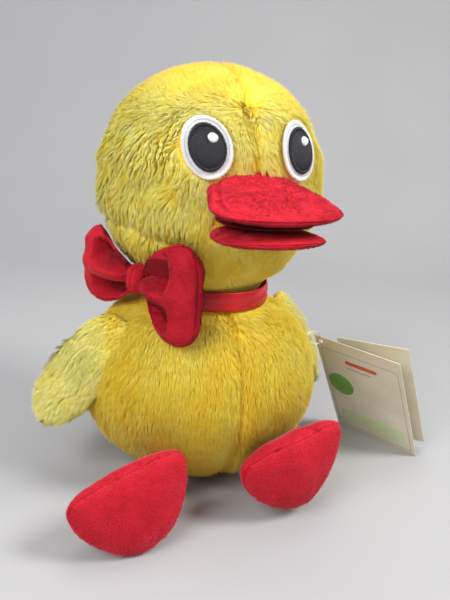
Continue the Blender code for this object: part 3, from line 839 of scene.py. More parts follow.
def outside_body(root, margin):
    """Which points lie outside the body's round, with a margin in millimetres."""
    x, y, z = root.T / MM
    reach = np.where(z > BODY_CENTRE, BODY_RISE, BODY_DROP)
    across = (x / (BODY_HALF_WIDTH - 2.5)) ** 2 + (y / (BODY_HALF_DEPTH - 2.5)) ** 2
    level = np.sqrt(across + ((z - BODY_CENTRE) / reach) ** 2)
    return (level - 1.0) * BODY_HALF_DEPTH > margin


BODY_MESH = make_body()
long_pile(
    "body", BODY_MESH, body_flow, "torso", 100, 2.9, 7.5, body_keep, body_length, body_ruffle, body_tone,
    lambda root: 0.0,
)
HEAD_MESH = make_head_form()
long_pile(
    "head", HEAD_MESH, head_flow, "head", 200, 3.1, 7.2, head_keep, head_length, head_ruffle, head_tone,
    head_loose,
)
make_wing("right", -1, SHOULDER_RIGHT, WING_LEAN_RIGHT)
make_wing("left", 1, SHOULDER_LEFT, WING_LEAN_LEFT)


# Thread and velour

def tubes(name, paths, radius, sides, materials, tone=None):
    """Threads: one closed tube along each path of an array of paths, round and pointed at its ends."""
    count, steps = paths.shape[:2]
    along = np.gradient(paths, axis=1)
    along /= np.maximum(np.linalg.norm(along, axis=2, keepdims=True), 1e-12)
    other = np.where(np.abs(along[:, :, 2:3]) < 0.8, np.array([0.0, 0.0, 1.0]), np.array([1.0, 0.0, 0.0]))
    across = np.cross(along, other)
    across /= np.maximum(np.linalg.norm(across, axis=2, keepdims=True), 1e-12)
    upward = np.cross(along, across)
    taper = np.ones(steps)
    taper[0] = taper[-1] = 0.35
    angle = 2.0 * math.pi * np.arange(sides) / sides
    ring = across[:, :, None] * np.cos(angle)[:, None] + upward[:, :, None] * np.sin(angle)[:, None]
    co = paths[:, :, None] + ring * (radius * MM * taper)[None, :, None, None]
    faces = []
    for row in range(steps - 1):
        for k in range(sides):
            a, b = row * sides + k, row * sides + (k + 1) % sides
            faces += [(a, b, b + sides), (a, b + sides, a + sides)]
    last = (steps - 1) * sides
    for k in range(1, sides - 1):
        faces += [(0, k + 1, k), (last, last + k, last + k + 1)]
    faces = (np.array(faces)[None] + steps * sides * np.arange(count)[:, None, None]).reshape(-1, 3)
    tone = np.zeros(count, dtype=np.int64) if tone is None else tone
    per_tube = len(faces) // count
    return triangle_mesh(name, co.reshape(-1, 3), faces, np.repeat(tone, per_tube), materials)


NAP_WIDTH = 0.34
NAP_LENGTH = 0.95
NAP_PER_MM2 = 3.0


def short_nap(name, mesh, flow_of, body, seed, materials, keep=None, shade_of=None):
    """The short brushed pile of velour on a surface, darker where it is in shade."""
    rng = np.random.default_rng(seed)
    root, normal = scattered(mesh, NAP_PER_MM2, rng)
    if keep is not None:
        kept = keep(root)
        root, normal = root[kept], normal[kept]
    flow = along_surface(flow_of(root, normal), normal)
    swirl = 0.45 * waves(root, 34.0, seed + 1) + 0.35 * waves(root, 9.0, seed + 2)
    flow = turned_about(flow, normal, swirl + 0.25 * rng.normal(size=len(root)))
    lift = np.radians(50.0 + 9.0 * waves(root, 15.0, seed + 3) + 9.0 * rng.normal(size=len(root)))
    lift = np.clip(lift, 0.25, 1.35)[:, None]
    reach = NAP_LENGTH * MM * np.clip(1.0 + 0.2 * rng.normal(size=len(root)), 0.5, 1.5)[:, None]
    tip = root + reach * (normal * np.sin(lift) + flow * np.cos(lift))
    side = unit(np.cross(flow, normal))
    width = NAP_WIDTH * MM * (0.7 + 0.6 * rng.random(len(root)))
    level = 0.5 + 0.20 * waves(root, 30.0, seed + 4) + 0.08 * waves(root, 9.0, seed + 5)
    level += 0.07 * rng.normal(size=len(root))
    if shade_of is not None:
        # Painted shade: a little darker all over, and darkest where the shade factor is high.
        level = 0.60 * level + 0.08 + 0.45 * shade_of(root)
    level = np.clip(level, 0.0, 0.999)
    tone = np.floor(level * len(materials)).astype(np.int64)
    strands = (root, tip, side, normal, width, tone)
    in_parts(name + "_nap", np.argsort(root[:, 0]), body, strands, materials)


def velour_piece(name, mesh, body, nodes, flow_of, seed, keep=None, strands=RED_STRANDS):
    ground(name, mesh, RED_GROUND, body, nodes)
    short_nap(name, mesh, flow_of, body, seed, strands, keep)


def steady(direction):
    """A flow that heads one way everywhere."""
    return lambda root, normal: np.tile(np.array(direction, dtype=float), (len(root), 1))


# Eyes

def thread_material(name, colour, roughness, sheen):
    made, shader = principled(name, colour, roughness, sheen)
    vary_roughness(made, shader, roughness - 0.1, roughness + 0.15, 700.0)
    bumped(made, shader, noise_of(made, 2600.0, 2.0), 0.3, 0.0002)
    return made


def felt_material(name, low, high):
    made, shader = principled(name, high, 0.95, 0.2)
    toned(made, shader, low, high, noise_of(made, 420.0, 5.0))
    bumped(made, shader, noise_of(made, 1500.0, 5.0), 0.5, 0.0005)
    return made


WHITE_FELT = felt_material("white_felt", (0.56, 0.55, 0.57), (0.66, 0.65, 0.67))
WHITE_THREAD = thread_material("white_thread", (0.82, 0.82, 0.82), 0.45, 0.1)
BLACK_FELT = felt_material("black_felt", (0.008, 0.008, 0.010), (0.016, 0.016, 0.020))
BLACK_THREAD = thread_material("black_thread", (0.014, 0.015, 0.019), 0.45, 0.15)

HEAD_ROUND = soft_form("head_round", head_stations())
HEAD_TREE = BVHTree.FromPolygons(
    [tuple(point) for point in points_of(HEAD_ROUND)],
    [tuple(face.vertices) for face in HEAD_ROUND.polygons],
)


def on_head(x, z, out):
    """A point of the head's front, raised off its round. All three are in millimetres."""
    place, normal, _, _ = HEAD_TREE.ray_cast(Vector((x * MM, -0.2, z * MM)), Vector((0.0, 1.0, 0.0)))
    if normal.y > 0.0:
        normal = -normal
    return place + normal * out * MM


def eye_patch(name, centre, halves, top, material, nodes):
    """A sewn oval: domed a little, rolled down at its edge, and closed behind."""
    profile = [(0.0, top + 0.35), (0.3, top + 0.30), (0.6, top + 0.18), (0.82, top + 0.05)]
    profile += [(0.94, top - 0.15), (1.0, top - 0.55), (1.0, top - 1.1), (0.5, top - 1.1)]
    profile += [(0.0, top - 1.1)]
    segments = 56
    patch = bmesh.new()
    rows = []
    for share, out in profile:
        spots = 1 if share == 0.0 else segments
        row = []
        for k in range(spots):
            angle = 2.0 * math.pi * k / segments
            x = centre[0] + halves[0] * share * math.cos(angle)
            z = centre[1] + halves[1] * share * math.sin(angle)
            row.append(patch.verts.new(on_head(x, z, out)))
        rows.append(row)
    join_rows(patch, rows, segments)
    bmesh.ops.recalc_face_normals(patch, faces=patch.faces)
    mesh = mesh_of(patch, name)
    mesh.shade_smooth()
    piece = add_object(name, mesh, material)
    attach(piece, "head")
    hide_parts(*nodes)


def rim_stitches(name, centre, halves, inner, outer, top, spacing, material, seed):
    """Satin stitches side by side across an oval's edge."""
    rng = np.random.default_rng(seed)
    around = math.pi * (halves[0] + halves[1])
    count = int(around / spacing)
    paths = []
    for k in range(count):
        angle = 2.0 * math.pi * k / count
        x, z = halves[0] * math.cos(angle), halves[1] * math.sin(angle)
        out_x, out_z = halves[1] * math.cos(angle), halves[0] * math.sin(angle)
        size = math.hypot(out_x, out_z)
        out_x, out_z = out_x / size, out_z / size
        first, last = inner + rng.normal(0.0, 0.10), outer + rng.normal(0.0, 0.12)
        path = []
        for share, rise in ((0.0, -0.35), (0.15, 0.22), (0.5, 0.42), (0.85, 0.18), (1.0, -0.50)):
            reach = first + share * (last - first)
            path.append(on_head(centre[0] + x + out_x * reach, centre[1] + z + out_z * reach, top + rise))
        paths.append(path)
    piece = tubes(name, np.array(paths), 0.5 * spacing * 0.98, 6, [material])
    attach(piece, "head")


def fill_stitches(name, centre, halves, top, spacing, material, seed):
    """Long stitches side by side over an oval, each one bowed a little at its middle."""
    rng = np.random.default_rng(seed)
    count = int(2.0 * halves[0] / spacing)
    paths = []
    for k in range(count):
        across = -halves[0] + (k + 0.5) * 2.0 * halves[0] / count
        reach = halves[1] * math.sqrt(max(0.02, 1.0 - (across / halves[0]) ** 2)) - 0.2
        rise = top + rng.normal(0.0, 0.04)
        path = []
        for share in np.linspace(-1.0, 1.0, 11):
            drop = 0.5 * abs(share) ** 6
            path.append(on_head(centre[0] + across, centre[1] + share * reach, rise - drop))
        paths.append(path)
    piece = tubes(name, np.array(paths), 0.5 * spacing * 0.96, 6, [material])
    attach(piece, "head")


def make_eyes():
    for sign, side in ((-1, "right"), (1, "left")):
        centre = (sign * EYE_CENTRE[0], EYE_CENTRE[1])
        white, black = f"eye_white_{side}", f"eye_black_{side}"
        eye_patch(f"eye_felt_{side}", centre, EYE_WHITE, 1.0, WHITE_FELT, [white])
        rim_stitches(
            f"eye_rim_{side}", centre, EYE_WHITE, -1.8, 0.5, 1.15, 0.55, WHITE_THREAD, 61
        )
        eye_patch(f"eye_pupil_{side}", centre, EYE_BLACK, 2.0, BLACK_FELT, [black])
        fill_stitches(
            f"eye_fill_{side}", centre, EYE_BLACK, 2.35, 0.52, BLACK_THREAD, 62
        )
        rim_stitches(
            f"eye_edge_{side}", centre, EYE_BLACK, -1.5, 0.35, 2.3, 0.50, BLACK_THREAD, 63
        )
        glint = (centre[0] + 3.0, centre[1] + 5.0)
        halves = (EYE_GLINT, EYE_GLINT)
        eye_patch(
            f"eye_spot_{side}", glint, halves, 3.0, WHITE_FELT, [f"eye_glint_{side}"]
        )
        fill_stitches(f"eye_shine_{side}", glint, halves, 3.35, 0.48, WHITE_THREAD, 64)


make_eyes()


# Bill

UPPER_BILL_RINGS = (
    (1.00, 0.00, 0.0, 6.0),
    (0.96, 0.55, 3.8, 6.3),
    (0.82, 0.92, 5.5, 7.4),
    (0.60, 0.98, 7.5, 9.2),
    (0.36, 0.84, 10.5, 12.0),
    (0.04, 0.70, 14.0, 15.4),
    (0.00, 0.00, 0.0, 15.4),
)
LOWER_BILL_RINGS = (
    (0.92, 0.00, 0.0, -7.0),
    (0.88, 0.48, 3.4, -7.0),
    (0.72, 0.80, 4.8, -7.4),
    (0.44, 0.80, 6.4, -8.6),
    (0.04, 0.64, 7.4, -9.4),
    (0.00, 0.00, 0.0, -9.4),
)
LINING_RINGS = (
    (0.80, 0.00, 0.0, 0.0),
    (0.74, 0.50, 0.9, 0.0),
    (0.50, 0.72, 1.1, 0.0),
    (0.04, 0.60, 1.1, 0.0),
    (0.00, 0.00, 0.0, 0.0),
)
VELOUR_DEPTH = 0.9


def bill_stations(rings):
    reach = BILL_ROOT - BILL_TIP
    return [
        (along * reach, wide * BILL_HALF_WIDTH, half_height, rise)
        for along, wide, half_height, rise in rings
    ]


def edge_distance(co, rings):
    """How far each point lies inside the bill's outline, seen from above, in metres."""
    reach = BILL_ROOT - BILL_TIP
    along = np.array([ring[0] for ring in rings]) * reach
    wide = np.array([ring[1] for ring in rings]) * BILL_HALF_WIDTH
    fine = np.linspace(along[-1], along[0], 90)
    half = 0.985 * np.interp(fine, along[::-1], wide[::-1])
    outline = np.concatenate([
        np.stack([half, BILL_ROOT - fine], axis=1), np.stack([-half, BILL_ROOT - fine], axis=1)
    ]) * MM
    outline = outline[outline[:, 1] < (BILL_ROOT - 8.0) * MM]
    gap = np.linalg.norm(co[:, None, :2] - outline[None], axis=2)
    return gap.min(axis=1)


def make_bill():
    place = (0.0, BILL_ROOT, MOUTH_HEIGHT)
    turn = turn_of((1, 0, 0), (0, -1, 0))
    for name, rings, upward in (
        ("upper_bill", UPPER_BILL_RINGS, 1.0),
        ("lower_bill", LOWER_BILL_RINGS, -1.0),
    ):
        mesh = soft_form(name, bill_stations(rings), place, turn)
        co = points_of(mesh)
        normal = normals_of(mesh)
        edge = edge_distance(co, rings)
        faced = step(normal[:, 2] * upward * MM, -0.1, 0.35)
        lip = 0.55 * faced * bell(edge - 2.6 * MM, 2.4)
        groove = 1.25 * faced * bell(edge - 6.2 * MM, 1.25)
        rim = 0.8 * bell(normal[:, 2] * MM, 0.14) * bell(edge, 3.0)
        folds = 0.45 * faced * waves(co * np.array([0.35, 1.0, 1.0]), 13.0, 71)
        folds *= step(co[:, 1] - BILL_TIP * MM, 14.0, 30.0)
        moved_out(mesh, lip - groove - rim + folds - VELOUR_DEPTH)
        nodes = [name + "_skin", name + "_filling"]
        # Painted light: the bill's ground is a brighter copy of the velour.
        ground(name + "_velour", mesh, PAINTED_LIGHT_GROUND, "head", nodes)
        short_nap(
            name, mesh, steady((0.0, -1.0, 0.0)), "head", 400 + int(upward), RED_STRANDS,
            lambda root: outside_head(root, -1.0),
        )
    mesh = soft_form("mouth_lining", bill_stations(LINING_RINGS), place, turn)
    moved_out(mesh, -0.25)
    ground("mouth_velour", mesh, LINING_AND_SHADE_GROUND, "head", ["mouth_lining"])
    short_nap("mouth", mesh, steady((0.0, -1.0, 0.0)), "head", 420, LINING_AND_SHADE_STRANDS)


def outside_head(root, margin):
    """Which points lie outside the head's round, with a margin in millimetres."""
    x, y, z = root.T / MM
    reach = np.where(z > HEAD_CENTRE, HEAD_RISE, HEAD_DROP)
    level = np.sqrt((x**2 + y**2) / HEAD_GROUND_RADIUS**2 + ((z - HEAD_CENTRE) / reach) ** 2)
    return (level - 1.0) * HEAD_GROUND_RADIUS > margin


make_bill()


# Bow and collar

RIBBON_THICKNESS = 1.0
SATIN_THICKNESS = 0.8
COLLAR_GAP = 1.6
COLLAR_SEGMENTS = 220
COLLAR_ROWS = 13
BOW_HEADING = -160.0
BOW_RADIUS = 57.0
BOW_HEIGHT = 146.0
BOW_LOOP = 60.0
BOW_HALF_HEIGHT_FRONT = 34.0
BOW_HALF_HEIGHT_BACK = 27.5
BOW_HALF_THICKNESS = 13.0
BOW_DROOP_FRONT = 1.0
BOW_DROOP_BACK = -2.0
LOOP_SHARES = (
    (1.00, 0.00, 0.00),
    (0.98, 0.66, 0.50),
    (0.84, 0.98, 0.88),
    (0.58, 1.00, 1.00),
    (0.34, 0.80, 0.88),
    (0.16, 0.42, 0.55),
    (0.12, 0.00, 0.00),
)
LOOP_SEGMENTS = 16
LOOP_PLEAT = 0.22
LOOP_CLEARANCE = 1.045
HOLLOW_DEPTH = 17.0
HOLLOW_REACH = 0.56
RIDGE_RISE = 2.2
KNOT_SIZE = (17.0, 19.0, 24.0)
KNOT_SHARES = (
    (1.00, 0.00, 0.00),
    (0.92, 0.70, 0.70),
    (0.50, 1.00, 1.00),
    (-0.50, 1.00, 1.00),
    (-0.92, 0.70, 0.70),
    (-1.00, 0.00, 0.00),
)


def outline_of(local):
    """Half widths of a loop at even steps along it."""
    steps = np.linspace(local[:, 2].min(), local[:, 2].max(), 36)
    near = np.abs(local[:, 2] - steps[:, None]) < steps[1] - steps[0]
    return steps, np.array([np.abs(local[chosen, 0]).max() for chosen in near])


def loop_hollow(local, outline):
    """How much each point lies in one of the two hollows at the knot, and on the ridge between them."""
    share = local[:, 2] / (BOW_LOOP * MM)
    across = local[:, 0] / np.interp(local[:, 2], *outline)
    upper = across > 0.0
    line = np.where(upper, 0.56 - 0.4 * (share - 0.15), 0.62 - 0.3 * (share - 0.15))
    half_width = np.where(upper, 0.28, 0.22)
    hollow = np.exp(-np.abs((np.abs(across) - line) / half_width) ** 4)
    along = ramp(share, 0.08, 0.16) * ramp(-share, -HOLLOW_REACH - 0.14, -HOLLOW_REACH)
    return hollow * along, np.exp(-((across / 0.16) ** 2)) * along


def beside_head(co):
    """Points moved out of the head's round, to clear its pile."""
    middle = metres((0.0, 0.0, HEAD_CENTRE))
    away = co - middle
    reach = np.where(away[:, 2] > 0.0, HEAD_RISE, HEAD_DROP)
    aside = (away[:, 0] ** 2 + away[:, 1] ** 2) / HEAD_GROUND_RADIUS**2
    level = np.sqrt(aside + (away[:, 2] / reach) ** 2) / MM
    return middle + away * np.maximum(1.0, LOOP_CLEARANCE / level)[:, None]


def make_bow():
    heading = math.radians(BOW_HEADING)
    outwards = Vector((math.cos(heading), math.sin(heading), 0.0))
    forwards = Vector((-outwards.y, outwards.x, 0.0))
    centre = outwards * BOW_RADIUS + Vector((0.0, 0.0, BOW_HEIGHT))
    for name, direction, half_height, droop, seed in (
        ("bow_front_loop", forwards, BOW_HALF_HEIGHT_FRONT, BOW_DROOP_FRONT, 81),
        ("bow_back_loop", -forwards, BOW_HALF_HEIGHT_BACK, BOW_DROOP_BACK, 83),
    ):
        fall = math.radians(droop)
        along = direction * math.cos(fall) - Vector((0.0, 0.0, math.sin(fall)))
        upwards = direction * math.sin(fall) + Vector((0.0, 0.0, math.cos(fall)))
        turn = turn_of(upwards, along)
        stations = scaled(LOOP_SHARES, BOW_LOOP, half_height, BOW_HALF_THICKNESS)
        mesh = soft_form(name, stations, centre, turn, LOOP_SEGMENTS, LOOP_PLEAT)
        co = points_of(mesh)
        local = in_own_axes(co, centre, turn)
        outline = outline_of(local)
        hollow, ridge = loop_hollow(local, outline)
        outer = step(local[:, 1] * np.sign(np.array(turn)[:, 1] @ np.array(outwards)), 0.5, 5.0)
        inwards = MM * outer * (HOLLOW_DEPTH * hollow - RIDGE_RISE * ridge)
        set_points(mesh, beside_head(co - inwards[:, None] * np.array(outwards)))
        crumple = 0.6 * waves(local * np.array([1.0, 1.0, 0.35]), 17.0, seed)
        rim = 0.8 * bell(local[:, 1], 1.4) * step(local[:, 2], 20.0, 34.0)
        moved_out(mesh, crumple - rim - VELOUR_DEPTH)
        ground(name + "_velour", mesh, RED_GROUND, "torso", [name])
        # Painted shade: the faces deep in the hollows take the dark lining ground.
        mesh.materials.append(LINING_AND_SHADE_GROUND)

        def shade(root, turn=turn, outline=outline):
            return loop_hollow(in_own_axes(root, centre, turn), outline)[0]

        faces = np.array([tuple(face.center) for face in mesh.polygons])
        mesh.polygons.foreach_set("material_index", (shade(faces) > 0.6).astype(np.int32))
        # Painted shade: in the hollows the strands darken into the lining's tones.
        short_nap(
            name, mesh, steady(along), "torso", 430 + seed, BOW_STRANDS + LINING_AND_SHADE_STRANDS,
            None, shade,
        )
    make_knot(centre, forwards)


def make_knot(centre, forwards):
    half_x, half_y, height = (0.5 * size for size in KNOT_SIZE)
    turn = turn_of(forwards, (0, 0, 1))
    mesh = soft_form("bow_knot", scaled(KNOT_SHARES, height, half_x, half_y), centre, turn)
    co = points_of(mesh)
    local = in_own_axes(co, centre, turn)
    slim = (local * np.array([0.80, 1.0, 0.86])) @ np.array(turn).T + metres(centre)
    set_points(mesh, slim)
    wraps = 0.7 * bell(local[:, 0] - 2.6 * MM - 0.1 * local[:, 2], 0.9)
    wraps += 0.7 * bell(local[:, 0] + 2.8 * MM, 0.9)
    moved_out(mesh, 0.25 * waves(co, 7.0, 91) - wraps - 0.7)
    velour_piece(
        "bow_knot_velour", mesh, "torso", ["bow_knot"], steady((0, 0, -1)), 520, None, BOW_STRANDS
    )


def satin_material():
    made, shader = principled("red_satin", (0.62, 0.012, 0.020), 0.34, 0.0, RED_TINT, 0.35)
    shader.inputs["Anisotropic"].default_value = 0.5
    toned(made, shader, (0.40, 0.005, 0.010), (0.60, 0.010, 0.018), noise_of(made, 60.0))
    vary_roughness(made, shader, 0.30, 0.38, 200.0)
    place = add_node(made, "ShaderNodeTexCoord")
    weave = add_node(made, "ShaderNodeTexWave", Scale=1500.0, Distortion=1.5)
    weave.bands_direction = "Z"
    link(made, place.outputs["Object"], weave.inputs["Vector"])
    bumped(made, shader, weave.outputs["Fac"], 0.06, 0.0001)
    return made


def make_collar():
    """A satin band round the neck, its edges turned, drawn into shallow folds."""
    segments, rows = COLLAR_SEGMENTS, COLLAR_ROWS
    radius = NECK_RADIUS + COLLAR_GAP + 0.5 * RIBBON_THICKNESS
    ring = []
    rng = np.random.default_rng(95)
    phase = rng.uniform(0.0, 2.0 * math.pi, 6)
    for k in range(segments):
        angle = 2.0 * math.pi * k / segments
        fold = sum(math.sin((3 + 2 * j) * angle + phase[j]) for j in range(6)) / 6.0
        section = []
        for side in (1, -1):
            for row in range(rows):
                share = side * (row / (rows - 1) * 2.0 - 1.0)
                crease = 0.9 * math.exp(-(((share - 0.9 * fold) / 0.30) ** 2))
                crease += 0.3 * math.sin(3.0 * share + 6.0 * angle + phase[0]) * (1.0 - share**2)
                turned_edge = 0.35 * abs(share) ** 8
                out = radius + 1.5 * (1.0 - share**2) - crease + turned_edge
                out += side * 0.5 * SATIN_THICKNESS
                height = NECK_HEIGHT - 0.2 + 6.6 * share + 0.7 * math.sin(2.0 * angle + phase[1])
                section.append((out * math.cos(angle), out * math.sin(angle), height))
        ring.append(section)
    co = np.array(ring).reshape(-1, 3) * MM
    around = 2 * rows
    faces = []
    for k in range(segments):
        for j in range(around):
            a, b = k * around + j, k * around + (j + 1) % around
            c, d = (k + 1) % segments * around + (j + 1) % around, (k + 1) % segments * around + j
            faces += [(a, d, c), (a, c, b)]
    tone = np.zeros(len(faces), dtype=np.int64)
    piece = triangle_mesh("collar_satin", co, np.array(faces), tone, [satin_material()])
    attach(piece, "torso")
    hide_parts("collar_ribbon")


make_bow()
make_collar()


# Legs and feet

def foot_stations():
    height, half_x, half_y = FOOT_HEIGHT, FOOT_HALF_WIDTH, FOOT_HALF_THICKNESS
    return [
        (along * height, wide * half_x, thick * half_y, -0.5 * (1.0 - thick) * half_y)
        for along, wide, thick in (
            (1.00, 0.00, 0.00),
            (0.97, 0.64, 0.36),
            (0.85, 0.98, 0.66),
            (0.64, 1.00, 0.94),
            (0.40, 0.88, 1.00),
            (0.18, 0.68, 0.84),
            (0.03, 0.38, 0.50),
            (0.00, 0.00, 0.00),
        )
    ]


def make_leg(side, hip, ankle, heel, toes):
    along = Vector(ankle) - Vector(hip)
    length = along.length
    radius = LEG_RADIUS
    stations = arc_rings(length, radius, radius, radius, (90, 50, 10))
    stations.append((0.5 * length, LEG_WAIST, LEG_WAIST, 0.0))
    stations += arc_rings(0.0, -radius, radius, radius, (10, 50, 90))
    turn = turn_of((along.y, -along.x, 0.0), along)
    mesh = soft_form(side + "_leg", stations, hip, turn)
    co = points_of(mesh)
    local = in_own_axes(co, hip, turn)
    wrinkle = 0.5 * np.sin((local[:, 2] / MM + 0.15 * local[:, 0] / MM) * 1.1)
    moved_out(mesh, wrinkle * bell(local[:, 2] - 0.5 * length * MM, 9.0) - VELOUR_DEPTH)
    velour_piece(
        side + "_leg_velour", mesh, "leg_" + side, [side + "_leg"], steady(along), 540 + len(side)
    )
    foot_turn = turned(toes)
    mesh = soft_form(side + "_foot", foot_stations(), heel, foot_turn)
    co = points_of(mesh)
    normal = normals_of(mesh) @ np.array(foot_turn)
    local = in_own_axes(co, heel, foot_turn)
    aside = (normal[:, 1] + 0.32) * MM
    seam = 1.6 * bell(aside, 0.12) * step(local[:, 2], 4.0, 16.0)
    pucker = 0.5 * bell(aside, 0.40) * waves(co, 6.0, 97)
    moved_out(mesh, pucker - seam + 0.4 * waves(co, 26.0, 98) - VELOUR_DEPTH)
    down = np.array(foot_turn) @ np.array((0.0, 0.0, -1.0))
    velour_piece(
        side + "_foot_velour", mesh, "foot_" + side, [side + "_foot_skin", side + "_foot_filling"],
        steady(down), 560 + len(side), lambda root: root[:, 2] > 0.8 * MM,
    )


make_leg("right", HIP_RIGHT, ANKLE_RIGHT, HEEL_RIGHT, TOES_RIGHT)
make_leg("left", HIP_LEFT, ANKLE_LEFT, HEEL_LEFT, TOES_LEFT)


# Tail, label and tag

TAIL_PLACE = (0.0, 80.0, 40.0)
TAIL_TURN = (-60.0, 0.0, 0.0)


def make_tail():
    turn = turned(TAIL_TURN)
    mesh = soft_form("tail", TAIL_STATIONS, TAIL_PLACE, turn)
    co = points_of(mesh)
    seam = 1.2 * bell(normals_of(mesh)[:, 0] * MM - MM, 0.1)
    moved_out(mesh, 0.4 * waves(co, 20.0, 51) - TAIL_GROUND_DEPTH - seam)
    ground("tail_plush", mesh, YELLOW_GROUND, "torso", ["tail"])
    towards_tip = np.array(turn) @ np.array((0.0, 0.0, 1.0))
    long_pile(
        "tail", mesh, steady(towards_tip), "torso", 340, 3.1, 6.4, lambda root: outside_body(root, 1.0),
        lambda root: 1.0, lambda root: 0.3, lambda root: 0.4, lambda root: 0.6,
    )


make_tail()

TAG_CORNER = (167.0, -54.0, 0.5)
TAG_HEADING = math.radians(-67.0)
TAG_LEAN = math.radians(29.0)
TAG_WIDTH = 74.0
TAG_HEIGHT = 104.0
CARD = 0.6
INK = 0.08
TAG_BORDER = 3.0
TAG_LINE = 0.7
LABEL_PLACE = (34.0, 64.0, 30.0)
LABEL_TURN = (-14.0, 0.0, -28.0)
LABEL_HALF_WIDTH = 8.0
LABEL_REACH = (-4.0, 22.0)


def card_material():
    """Coated card, its tone changing a little from place to place."""
    made, shader = principled("coated_card", (0.66, 0.61, 0.47), 0.45, specular=0.5)
    toned(made, shader, (0.60, 0.55, 0.41), (0.70, 0.65, 0.51), noise_of(made, 26.0, 4.0))
    vary_roughness(made, shader, 0.36, 0.52, 90.0)
    bumped(made, shader, noise_of(made, 1800.0, 3.0), 0.12, 0.0002)
    return made


def ink_material(name, low, high):
    made, shader = principled(name, high, 0.42, specular=0.5)
    toned(made, shader, low, high, noise_of(made, 60.0, 4.0))
    vary_roughness(made, shader, 0.34, 0.50, 120.0)
    return made


def dress(node, material):
    """Gives a solid that stays in view its finish."""
    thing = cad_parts[node]
    if not thing.material_slots:
        thing.data.materials.append(material)
    for held in thing.material_slots:
        held.material = material


def rounded_outline(low, high, radius, corner=6):
    """Points round a rectangle with round corners, in the leaf's width and height."""
    points = []
    for k, (x, z) in enumerate(((1, 0), (1, 1), (0, 1), (0, 0))):
        middle_x = (low[0] + radius, high[0] - radius)[x]
        middle_z = (low[1] + radius, high[1] - radius)[z]
        for step_of in range(corner + 1):
            angle = 0.5 * math.pi * (k - 1 + step_of / corner)
            points.append((middle_x + radius * math.cos(angle), middle_z + radius * math.sin(angle)))
    return points


def round_outline(centre, radius, count=48):
    return [
        (centre[0] + radius * math.cos(2.0 * math.pi * k / count),
         centre[1] + radius * math.sin(2.0 * math.pi * k / count))
        for k in range(count)
    ]


def printed(name, outline, material, inner=None):
    """A print on the front leaf: a very thin solid, with an opening where it has an inner line."""
    middle = [tuple(np.mean(outline, axis=0))] * len(outline)
    rims = [outline, inner or middle]
    layers = (-CARD - 0.02, -CARD - 0.02 - INK)
    sheet = bmesh.new()
    rows = []
    for rim, layer in ((0, 0), (0, 1), (1, 1), (1, 0)):
        rows.append([sheet.verts.new((x * MM, layers[layer] * MM, z * MM)) for x, z in rims[rim]])
    for near, far in zip(rows, rows[1:] + rows[:1]):
        for k in range(len(outline)):
            following = (k + 1) % len(outline)
            sheet.faces.new((near[k], near[following], far[following], far[k]))
    bmesh.ops.remove_doubles(sheet, verts=sheet.verts, dist=0.001 * MM)
    bmesh.ops.dissolve_degenerate(sheet, edges=sheet.edges, dist=0.0005 * MM)
    bmesh.ops.recalc_face_normals(sheet, faces=sheet.faces)
    mesh = mesh_of(sheet, name)
    across = Vector((math.cos(TAG_HEADING), math.sin(TAG_HEADING), 0.0))
    level = Vector((-math.sin(TAG_HEADING), math.cos(TAG_HEADING), 0.0))
    upwards = Vector((0.0, 0.0, math.cos(TAG_LEAN))) - level * math.sin(TAG_LEAN)
    fold = Vector(TAG_CORNER) - across * TAG_WIDTH
    mesh.transform(turn_matrix(fold, turn_of(across, upwards)))
    piece = add_object(name, mesh, material)
    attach(piece, "tag_front")


def make_tag():
    card = card_material()
    for node in ("tag_front_leaf", "tag_back_leaf"):
        dress(node, card)
    thread, shader = principled("clear_thread", (0.82, 0.82, 0.80), 0.25, specular=0.5)
    vary_roughness(thread, shader, 0.18, 0.34, 500.0)
    dress("tag_loop", thread)
    grey = ink_material("grey_ink", (0.36, 0.34, 0.28), (0.42, 0.40, 0.33))
    green = ink_material("green_ink", (0.13, 0.30, 0.035), (0.17, 0.37, 0.05))
    pale = ink_material("pale_ink", (0.50, 0.58, 0.32), (0.56, 0.64, 0.38))
    red = ink_material("red_ink", (0.50, 0.07, 0.03), (0.60, 0.10, 0.045))
    near, far = TAG_BORDER, TAG_BORDER + TAG_LINE
    printed(
        "tag_border", rounded_outline((near, near), (TAG_WIDTH - near, TAG_HEIGHT - near - 8.0), 3.0),
        grey, rounded_outline((far, far), (TAG_WIDTH - far, TAG_HEIGHT - far - 8.0), 3.0 - TAG_LINE),
    )
    printed("tag_disc", round_outline((14.5, 55.0), 11.5), green)
    printed("tag_bar", rounded_outline((24.0, 82.0), (52.0, 86.0), 1.9), red)
    printed("tag_thin_bar", rounded_outline((24.0, 77.0), (46.0, 78.6), 0.7), grey)
    printed("tag_band", rounded_outline((8.0, 10.0), (TAG_WIDTH - 8.0, 24.0), 3.0), pale)


def label_material():
    made, shader = principled("label_weave", (0.80, 0.80, 0.78), 0.5, 0.2)
    toned(made, shader, (0.72, 0.72, 0.70), (0.82, 0.82, 0.80), noise_of(made, 700.0, 3.0))
    vary_roughness(made, shader, 0.42, 0.60, 500.0)
    bumped(made, shader, noise_of(made, 2400.0, 2.0, (1.0, 4.0, 1.0)), 0.4, 0.0003)
    return made


